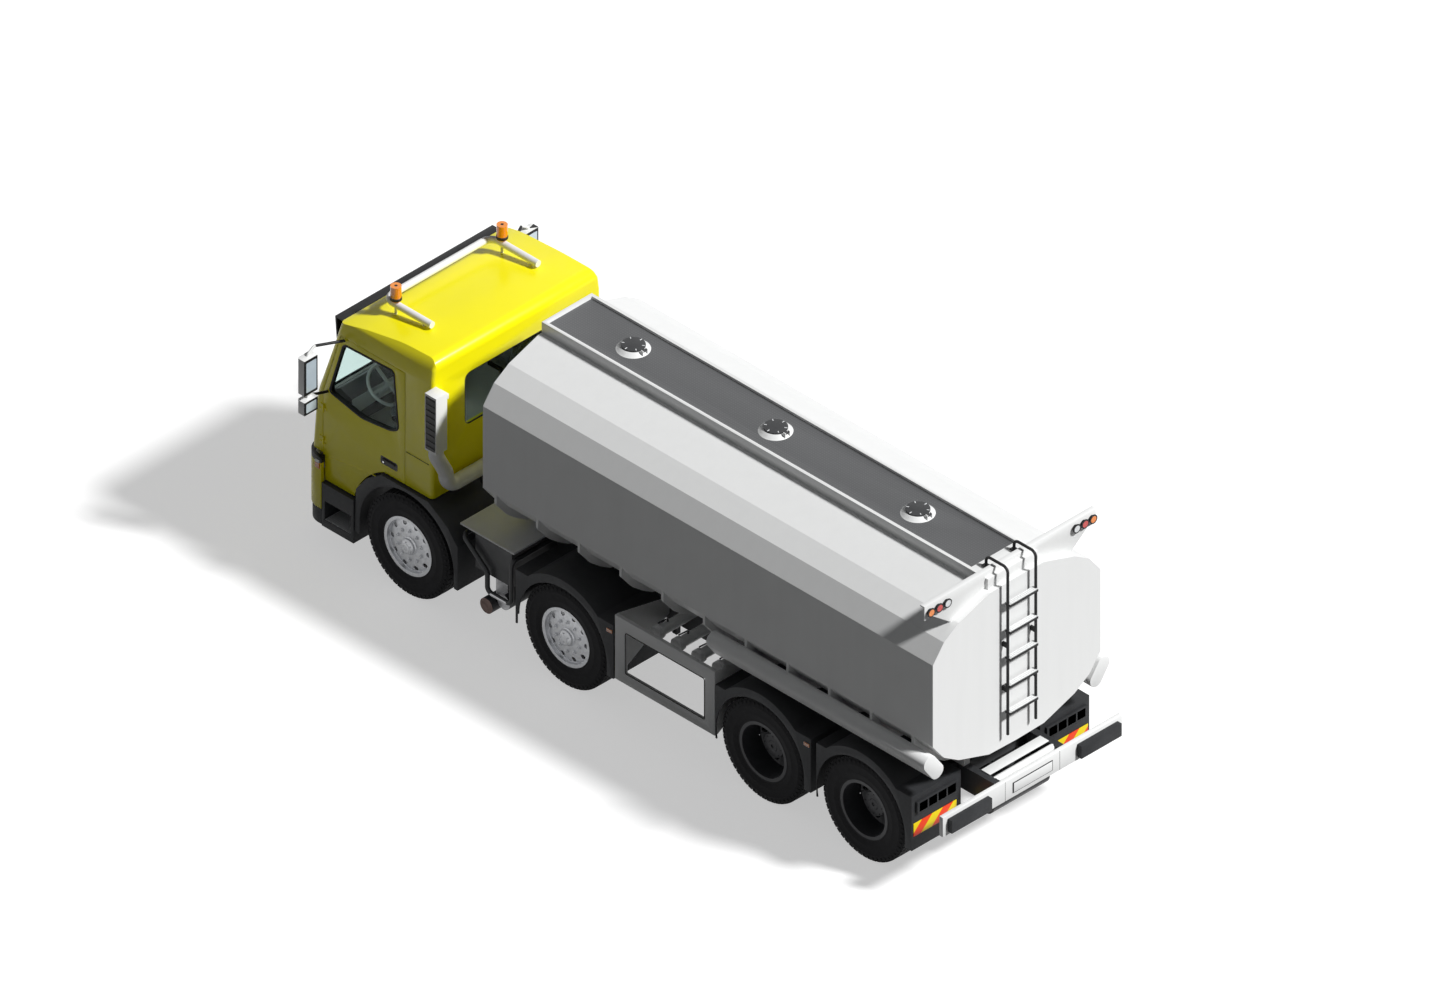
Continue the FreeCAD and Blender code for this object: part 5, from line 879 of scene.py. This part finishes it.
def add_windows():
    """Black rubber seals round the door windows, the rear window and the windscreen."""
    for side, out in SIDES.items():
        seal = tube(f"door_seal_{side}", on_side(looped(DOOR_WINDOW), -0.004), 0.013, 0.045)
        dress(for_side(seal, out, "door_seal_right_piece"), "seal_rubber", f"door_{side}")
    back = facing_x(2.6905, (0.722, -0.722), (1.893, 2.531))
    dress(plate("rear_seal", back, (-0.0105, 0, 0), 0.002, 0.075, 0.026), "seal_rubber", "cab")
    screen = [(x, y, z) for y, x, z in WINDSCREEN] + [(x, -y, z) for y, x, z in reversed(WINDSCREEN)]
    dress(tube("screen_seal", looped(screen), 0.015, 0.050), "seal_rubber", "cab")


def add_door_details():
    """Door handles in their recesses, locks and the pressed crease."""
    for side, out in SIDES.items():
        recess = facing_y((3.150, 3.380), CAB_SIDE - 0.004, (1.350, 1.440))
        bowl = facing_y((3.158, 3.372), CAB_SIDE - 0.006, (1.358, 1.432))
        lock = rod("handle_lock", (3.340, 1.149, 1.376), (3.340, 1.155, 1.376), 0.010, 16, 0.001)
        parts = [
            give(plate("handle_recess", recess, (0, 0.0055, 0), 0.001, 0.020, 0.008), "trim_black"),
            give(plate("handle_bowl", bowl, (0, 0.0065, 0), 0.0, 0.016), "trim_black"),
            give(tube("handle_grip", on_side([(3.180, 1.410), (3.350, 1.410)], 0.008), 0.009), "trim_black"),
            give(lock, "bright_steel"),
            give(tube("door_crease", on_side(DOOR_CREASE, -0.0025), 0.0055), "cab_yellow"),
        ]
        whole = for_side(join(parts, f"door_fittings_{side}"), out, "door_fittings_right_piece")
        dress(whole, body=f"door_{side}")


def add_cab_trim():
    """Visor and grille, the grille's bars, and two wipers."""
    skin("cab_trim", 0.003, "trim_black", "cab", tints=[
        ("grille_mesh", lambda centre, normal: centre.z < 1.6 and normal.x > 0.5)])
    for index in range(GRILLE_BARS):
        height = 1.155 + GRILLE_PITCH * index
        block(f"grille_bar_{index}", "trim_black", (4.318, 4.346), about(0, 0.630), about(height, 0.009),
              0.004, "cab")
    for index, across in enumerate(WIPERS):
        arm = tube(f"wiper_arm_{index}", [(4.290, across, 1.672), (4.272, across + 0.16, 1.800),
                                          (4.196, across + 0.44, 1.990)], 0.007, 0.02)
        blade = tube(f"wiper_blade_{index}", [(4.286, across + 0.12, 1.730),
                                              (4.106, across + 0.72, 2.250)], 0.007)
        hub = rod(f"wiper_hub_{index}", (4.266, across, 1.672), (4.298, across, 1.672), 0.020, 20, 0.003)
        dress(join([arm, blade, hub], f"wiper_{index}"), "trim_black", "cab")


def add_front():
    """Cowl, lower intake slots, a blank plate, fog lamps and the seams at the waist."""
    cowl = [(4.2905, 0.985, 1.622), (4.2905, -0.985, 1.622), (4.2735, -0.985, 1.690), (4.2735, 0.985, 1.690)]
    dress(plate("cowl", cowl, (0.006, 0, 0.0015), 0.002, 0.012), "trim_black", "cab")
    for index in range(3):
        low = 0.560 + 0.060 * index
        block(f"bumper_slot_{index}", "grille_mesh", (4.3855, 4.3872), about(0, 0.560), (low, low + 0.034))
    block("front_plate_holder", "trim_black", (4.3857, 4.3874), about(0, 0.275), (0.790, 0.915))
    block("front_blank_plate", "part_white", (4.3858, 4.3879), about(0, 0.260), (0.800, 0.905))
    for side, out in SIDES.items():
        fog = turned(f"fog_lamp_{side}", [(0.0, 0.0), (0.040, 0.0), (0.043, -0.002), (0.043, -0.006),
                                          (0.0, -0.006)], 32, BACKWARD, (4.3819, out * 0.880, 0.560))
        dress(fog, "lamp_bright")
        ends = [(forward, out * 1.1485, WAIST) for forward in (3.035, 2.725)]
        dress(tube(f"waist_seam_{side}", ends, 0.0025), "seal_rubber", "cab")


def add_roof():
    """Roof bar, and the beacons' black bases and top dots."""
    skin("roof_bar", 0.001, "part_white", "cab", segments=1)
    for side, out in SIDES.items():
        base = turned(f"beacon_base_{side}", [(0.0, -0.012), (0.060, -0.012), (0.060, 0.012), (0.054, 0.020),
                                              (0.0, 0.020)], 36, UPWARD, (3.599, out * 0.7210, 2.962))
        dress(base, "trim_black", "cab")
        ends = [(3.599, out * 0.721, height) for height in (3.106, 3.1078)]
        dress(rod(f"beacon_dot_{side}", *ends, 0.016, 20), "trim_black", "cab")


def add_intake():
    """Air intake behind the cab, with slats over its pierced face."""
    skin("air_intake", 0.005, "part_white", "cab")
    corners = facing_y((2.503, 2.636), 1.2810, (1.960, 2.575))
    dress(plate("intake_louvre", corners, (0, 0.0025, 0), 0.0, 0.012), "louvre", "cab")
    for index in range(9):
        low = 1.985 + 0.070 * index
        block(f"intake_slat_{index}", "trim_black", (2.506, 2.633), (1.2825, 1.2900), (low, low + 0.016),
              0.003, "cab")


def add_mirrors():
    """Mirror housings with their glass and black rims."""
    for side, out in SIDES.items():
        body = f"door_{side}"
        skin(f"mirrors_{side}", 0.012, "trim_black", body, tints=[
            ("part_white", lambda centre, normal: centre.x > NOSE and abs(centre.y) > MIRROR_INNER)])
        for name, heights in (("main", (2.070, 2.430)), ("wide", (1.832, 1.950))):
            outline = facing_x(3.9720, (out * 1.424, out * 1.575), heights)
            glass = plate(f"mirror_{name}_{side}", outline, (-0.0025, 0, 0), 0.0, 0.018)
            dress(glass, "mirror_glass", body)
            rim = plate(f"mirror_rim_{name}_{side}", outline, (-0.0045, 0, 0), 0.001, 0.018, 0.006)
            dress(rim, "trim_black", body)


def add_lamps_front():
    """Flat round headlamps with bezels and rims, indicators, corner markers and door step treads."""
    for side, out in SIDES.items():
        sides = [out * across for across in HEADLAMP_SIDES]
        rim = plate(f"headlamp_rim_{side}", facing_x(4.374, sides, HEADLAMP_HEIGHTS),
                    (0.0125, 0, 0), 0.002, 0.020, 0.008)
        dress(rim, "bright_steel")
        for index, across in enumerate((0.825, 0.930)):
            bowl = turned(f"headlamp_bowl_{side}_{index}", [
                (0.0, 0.0), (0.014, 0.001), (0.040, 0.006), (0.046, 0.007), (0.046, 0.001), (0.049, 0.001),
                (0.049, -0.004), (0.0, -0.004)], 32, BACKWARD, (4.3805, out * across, 0.812))
            dress(bowl, "lamp_bright")
    paired("headlamp_bezel", "trim_black", (4.372, 4.3800), HEADLAMP_SIDES, HEADLAMP_HEIGHTS, 0.004)
    paired("indicator", "lamp_amber", (4.376, 4.3878), (0.785, 0.985), (0.722, 0.748), 0.004)
    paired("corner_marker", "lamp_amber", (4.155, 4.215), (1.196, 1.2115), (0.915, 0.975), 0.004)
    paired("corner_marker_top", "lamp_clear", (4.155, 4.215), (1.196, 1.2110), (0.977, 1.012), 0.004)
    paired("door_step", "step_tread", (3.748, 4.094), (0.905, 1.188), (0.3405, 0.3465), 0.002)


PAD_VOXEL = 0.006
PAD_PRESSURE = 4
PAD_FRAMES = 20
PAD_CAP = 0.014
SEAT_MIDDLE = 0.650
STEERING_WHEEL = Vector((3.760, 0.650, 1.830))
WHEEL_REACH = 0.26


def inflate(piece):
    """Swell a pad as cloth under pressure, cap how far it goes, and smooth it."""
    pick(piece)
    piece.data.remesh_voxel_size = PAD_VOXEL
    bpy.ops.object.voxel_remesh()
    start = [vertex.co.copy() for vertex in piece.data.vertices]
    bpy.ops.object.modifier_add(type="CLOTH")
    cloth = piece.modifiers[-1]
    cloth.settings.use_pressure = True
    cloth.settings.uniform_pressure_force = PAD_PRESSURE
    cloth.settings.effector_weights.gravity = 0
    cloth.point_cache.frame_start = 1
    cloth.point_cache.frame_end = PAD_FRAMES
    for number in range(1, PAD_FRAMES + 1):
        bpy.context.scene.frame_set(number)
    bpy.ops.object.modifier_apply(modifier=cloth.name)
    for vertex, before in zip(piece.data.vertices, start):
        move = vertex.co - before
        if move.length > PAD_CAP:
            vertex.co = before + move.normalized() * PAD_CAP
    bpy.context.scene.frame_set(1)
    apply("SMOOTH", factor=0.5, iterations=4)
    return piece


def pad(name, x, y, z, pinch, lean=0.0):
    """A crowned cushion whose sides pull in between its corners."""
    piece = cube(name, x, y, z)
    edit()
    bpy.ops.mesh.subdivide(number_cuts=7)
    leave()
    centre = Vector([(low + high) / 2 for low, high in (x, y, z)])
    half = Vector([(high - low) / 2 for low, high in (x, y, z)])
    for vertex in piece.data.vertices:
        share = [(vertex.co[axis] - centre[axis]) / half[axis] for axis in range(3)]
        for axis in range(3):
            others = [share[other] for other in range(3) if other != axis]
            inward = pinch * (1 - min(others[0] ** 2, 1)) * (1 - min(others[1] ** 2, 1))
            if abs(share[axis]) > 0.99:
                vertex.co[axis] += inward * 0.6 * (1 if share[axis] > 0 else -1)
        vertex.co.x -= lean * (vertex.co.z - z[0])
    return inflate(piece)


def add_cab_inside():
    """Dashboard with its steering wheel in grey, and cushioned seats with headrests."""
    skin("dashboard", 0.003, "trim_black", "cab", segments=1, tints=[
        ("inner_grey", lambda centre, normal: (centre - STEERING_WHEEL).length < WHEEL_REACH)])
    for side, out in SIDES.items():
        middle = SEAT_MIDDLE * out
        base = cube(f"seat_base_{side}", (3.190, 3.410), about(middle, 0.170), (1.312, 1.640), 0.020)
        rail = cube(f"seat_pan_{side}", (3.120, 3.520), about(middle, 0.215), (1.636, 1.676), 0.012)
        dress(join([base, rail], f"seat_frame_{side}"), "trim_black", "cab")
        parts = [
            pad(f"seat_cushion_{side}", (3.150, 3.538), about(middle, 0.215), (1.690, 1.775), 0.016),
            pad(f"seat_back_{side}", (3.150, 3.235), about(middle, 0.210), (1.800, 2.130), 0.014, 0.17),
            pad(f"seat_head_{side}", (3.110, 3.165), about(middle, 0.120), (2.190, 2.310), 0.008, 0.10),
        ]
        for piece in parts:
            dress(piece, "seat_cloth", "cab", CUSHION_ANGLE)
        if side == "left":
            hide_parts("seats")
        posts = [rod(f"head_post_{side}_{index}", (3.125, across, 2.095), (3.118, across, 2.205), 0.006)
                 for index, across in enumerate(about(middle, 0.060))]
        dress(join(posts, f"head_posts_{side}"), "bright_steel", "cab")


# Tank, walkway and what stands on them.

WALK_FLOOR = 3.259
WALK_HALF = 0.335
WALK_CHANGE = -3.80
LIDS = ("lid_rear", "lid_middle", "lid_front")
LID_MIDDLES = (-2.771, -0.838, 1.095)
LID_CLAMPS = 6
LID_CLAMP_ENDS = (0.088, 0.116)
BAR_RING = ((0.036, 0.0), (0.050, 0.0), (0.050, 0.010), (0.046, 0.013), (0.039, 0.013), (0.036, 0.010),
            (0.036, 0.0))
BAR_LENS = ((0.0, 0.0), (0.0385, 0.0), (0.0385, 0.012), (0.030, 0.019), (0.015, 0.0225), (0.0, 0.0235))
BAR_LAMPS = (("lamp_amber", 1.100), ("lamp_red", 0.988), ("lamp_clear", 0.876))
LADDER_MIDDLE = -4.181
LADDER_FOOT = 1.7225
LADDER_PITCH = 0.3175


def on_walk_floor(centre, normal):
    """Whether a face is the tray's floor."""
    return normal.z > 0.9 and abs(centre.z - WALK_FLOOR) < 0.006 and abs(centre.y) < WALK_HALF


def add_walkway():
    """Walkway with its tread floor, white at the rear end, and the hose tubes along the tank's foot."""
    skin("hose_tubes", 0.004, "tank_white")
    skin("walkway", 0.004, "part_white", tints=[
        ("walk_grey", lambda centre, normal: on_walk_floor(centre, normal) and centre.x > WALK_CHANGE),
        ("walk_white", lambda centre, normal: on_walk_floor(centre, normal) and centre.x <= WALK_CHANGE)])


def add_lids():
    """Manhole lids, each with a ring of small clamps."""
    for node, middle in zip(LIDS, LID_MIDDLES):
        skin(node, 0.004, "lid_black", node)
        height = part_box(node)[1][2] - 0.004
        parts = []
        for index in range(LID_CLAMPS):
            angle = math.radians(30 + 360 / LID_CLAMPS * index)
            ends = [(middle + reach * math.cos(angle), reach * math.sin(angle), height)
                    for reach in LID_CLAMP_ENDS]
            parts.append(tube(f"{node}_clamp_{index}", ends, 0.006))
        dress(join(parts, f"{node}_clamps"), "bright_steel", node)


def add_light_bar():
    """Round lamps in black rings along the light bar, orange, red and clear from the outside in."""
    skin("light_bar", 0.004, "tank_white")
    for side, out in SIDES.items():
        for finish, across in BAR_LAMPS:
            spot = (-4.0595, out * across, 3.274)
            dress(turned(f"bar_ring_{side}_{finish}", BAR_RING, 36, FORWARD, spot), "trim_black")
            dress(turned(f"bar_lens_{side}_{finish}", BAR_LENS, 36, FORWARD, spot), finish)


def on_ladder_step(centre, normal):
    """Whether a face is the top or the underside of a ladder step."""
    on_steps = abs(centre.y) < 0.176 and centre.z < 3.05 and abs(centre.x - LADDER_MIDDLE) < 0.045
    return on_steps and abs(normal.z) > 0.7


def add_ladder():
    """Black ladder with three white tread strips on each step."""
    skin("ladder", 0, "trim_black", tints=[("step_tread", on_ladder_step)])
    for index in range(5):
        height = LADDER_FOOT + LADDER_PITCH * index
        for row in range(3):
            forward = LADDER_MIDDLE + 0.021 * (row - 1)
            ends = [(forward, across, height) for across in about(0, 0.165)]
            dress(tube(f"tread_strip_{index}_{row}", ends, 0.003), "part_white")


# Left and right sides.

COUPLING_PROFILE = (
    (0.0, 1.060), (0.030, 1.060), (0.034, 1.0695), (0.070, 1.0695), (0.0745, 1.064), (0.0745, 1.054),
    (0.070, 1.050), (0.070, 1.046), (0.0745, 1.042), (0.0745, 1.032), (0.070, 1.028), (0.070, 1.022),
    (0.0745, 1.018), (0.0745, 1.006), (0.066, 1.000), (0.060, 1.000), (0.060, 0.990), (0.0, 0.990),
)
COUPLINGS = 4
FIRST_COUPLING = -0.272
COUPLING_PITCH = 0.279
COUPLING_HEIGHT = 1.122
DECK_TOP = 1.172


def add_side_frame():
    """The cabinet's open frame with its black seal, and pipe couplings with their levers."""
    skin("side_frame", 0.006, "frame_grey")
    corners = facing_y((-1.081, 0.004), 1.203, (0.578, 1.066))
    dress(plate("cabinet_seal", corners, (0, 0.006, 0), 0.002, 0.030, 0.010), "seal_rubber")
    for index in range(COUPLINGS):
        forward = FIRST_COUPLING - COUPLING_PITCH * index
        lugs = nut_ring("coupling_lugs", 1.020, 0.078, 4, 0.010)
        form = join([lathe("coupling", COUPLING_PROFILE, 40), lugs], "coupling")
        whole = copy_of(form, f"coupling_{index + 1}", (forward, 0, COUPLING_HEIGHT))
        bpy.data.objects.remove(form)
        dress(whole, "part_white")
        lever = tube(f"valve_lever_{index + 1}", [(forward, 0.90, 1.180), (forward, 0.90, 1.215),
                                                  (forward, 1.03, 1.225)], 0.008, 0.015)
        dress(lever, "trim_black")


def add_mudguards():
    """Mudguards and their amber side markers."""
    skin("mudguards", 0.004, "guard_black")
    for axle in ("second", "third"):
        rear = AXLES[axle] - 0.675
        paired(f"marker_{axle}", "lamp_amber", (rear, rear + 0.075), (1.203, 1.2165), (0.966, 1.004), 0.004)


def around(forward, height):
    """A test for faces within a small circle, seen from the truck's left."""
    return lambda centre, normal: (centre.x - forward) ** 2 + (centre.z - height) ** 2 < 0.0075


def add_bay():
    """Battery bay under its pale step plate, with a brown and a bare steel air tank end."""
    in_brown = around(1.940, 0.384)
    in_steel = around(1.780, 0.470)
    skin("battery_bay", 0.003, "chassis_black", segments=1, tints=[
        ("deck_grey", lambda centre, normal: centre.z > DECK_TOP and normal.z > 0.5),
        ("part_white", lambda centre, normal: centre.z > DECK_TOP and normal.z <= 0.5),
        ("brown_end", lambda centre, normal: normal.y > 0.3 and centre.y > 1.0 and in_brown(centre, normal)),
        ("dull_steel", lambda centre, normal: centre.y > 0.9 and in_steel(centre, normal))])


def add_right_side():
    """Steps, fuel tank with straps and cap, and the exhaust box with slots in its heat shield."""
    skin("steps", 0.005, "guard_black")
    skin("fuel_tank", 0.010, "tank_alloy")
    skin("exhaust_box", 0.010, "chassis_black")
    for index in range(3):
        forward = -0.900 + 0.380 * index
        corners = facing_x(forward, (-0.540, -1.182), (1.062, 0.478))
        strap = plate(f"fuel_strap_{index}", corners, (0.045, 0, 0), 0.001, 0.012, 0.003)
        dress(strap, "dull_steel")
    dress(rod("fuel_cap", (-0.330, -1.080, 1.058), (-0.330, -1.080, 1.090), 0.048, 32, 0.006), "trim_black")
    for index in range(7):
        forward = 1.700 + 0.070 * index
        block(f"shield_slot_{index}", "grille_mesh", (forward, forward + 0.028), (-1.1325, -1.1295),
              (0.560, 0.900))


# Rear.

CLUSTER_INNER = 0.625
CLUSTER_LENSES = 4
LENS_WIDTH = 0.510 / CLUSTER_LENSES
LENS_GAP = 0.006
LENS_MARGIN = 0.014


def add_cluster(name, out, rear, low, high):
    """Smoked lenses side by side in a lamp cluster's face."""
    for index in range(CLUSTER_LENSES):
        inner = CLUSTER_INNER + LENS_WIDTH * index
        edges = (inner + LENS_GAP, inner + LENS_WIDTH - LENS_GAP)
        block(f"lens_{name}_{index}", "lamp_smoke", (rear - 0.0015, rear + 0.006),
              sorted(out * edge for edge in edges), (low + LENS_MARGIN, high - LENS_MARGIN), 0.003)


def add_rear_bumper():
    """White bumper with its seams and blank plate, lamp clusters, warning plates and the inner bar."""
    skin("rear_bumper", 0.005, "part_white")
    skin("lamps", 0.004, "guard_black", tints=[("lamp_clear", lambda centre, normal: centre.x > NOSE)])
    for side, out in SIDES.items():
        add_cluster(f"bumper_{side}", out, -4.3852, 0.863, 1.013)
        add_cluster(f"guard_{side}", out, -3.9195, 0.860, 0.995)
    paired("warning_plate", "warning", (-3.8975, -3.8905), (0.600, 1.185), (0.600, 0.750), 0.002)
    paired("bumper_seam", "trim_black", (-4.3278, -4.3265), (0.368, 0.372), (0.826, 1.050))
    ends = [(-4.205, across, 1.020) for across in about(0, 0.402)]
    dress(rod("rear_cross_bar", *ends, 0.038, 32, 0.008), "part_white")
    corners = [(-4.150, -0.401, 1.060), (-4.150, 0.401, 1.060),
               (-4.030, 0.401, 1.060), (-4.030, -0.401, 1.060)]
    dress(plate("rear_cross_plate", corners, (0, 0, 0.008), 0.002), "part_white")
    block("plate_holder", "trim_black", (-4.334, -4.3265), (-0.270, 0.270), (0.875, 0.995), 0.002)
    block("blank_plate", "part_white", (-4.3365, -4.3335), (-0.260, 0.260), (0.883, 0.987), 0.001)


def dress_nodes():
    """Give the CAD nodes that show as they are their finishes."""
    for finish, names in NODE_FINISHES.items():
        for name in names:
            give(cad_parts[name], finish)


clear()
add_camera()
add_sun()
add_world()
add_floor()
dress_nodes()
add_tyres()
add_rims()
add_cab_skins()
add_windows()
add_door_details()
add_cab_trim()
add_front()
add_roof()
add_intake()
add_mirrors()
add_lamps_front()
add_cab_inside()
add_walkway()
add_lids()
add_light_bar()
add_ladder()
add_side_frame()
add_mudguards()
add_bay()
add_rear_bumper()
add_right_side()

bpy.context.scene.view_settings.view_transform = "Standard"
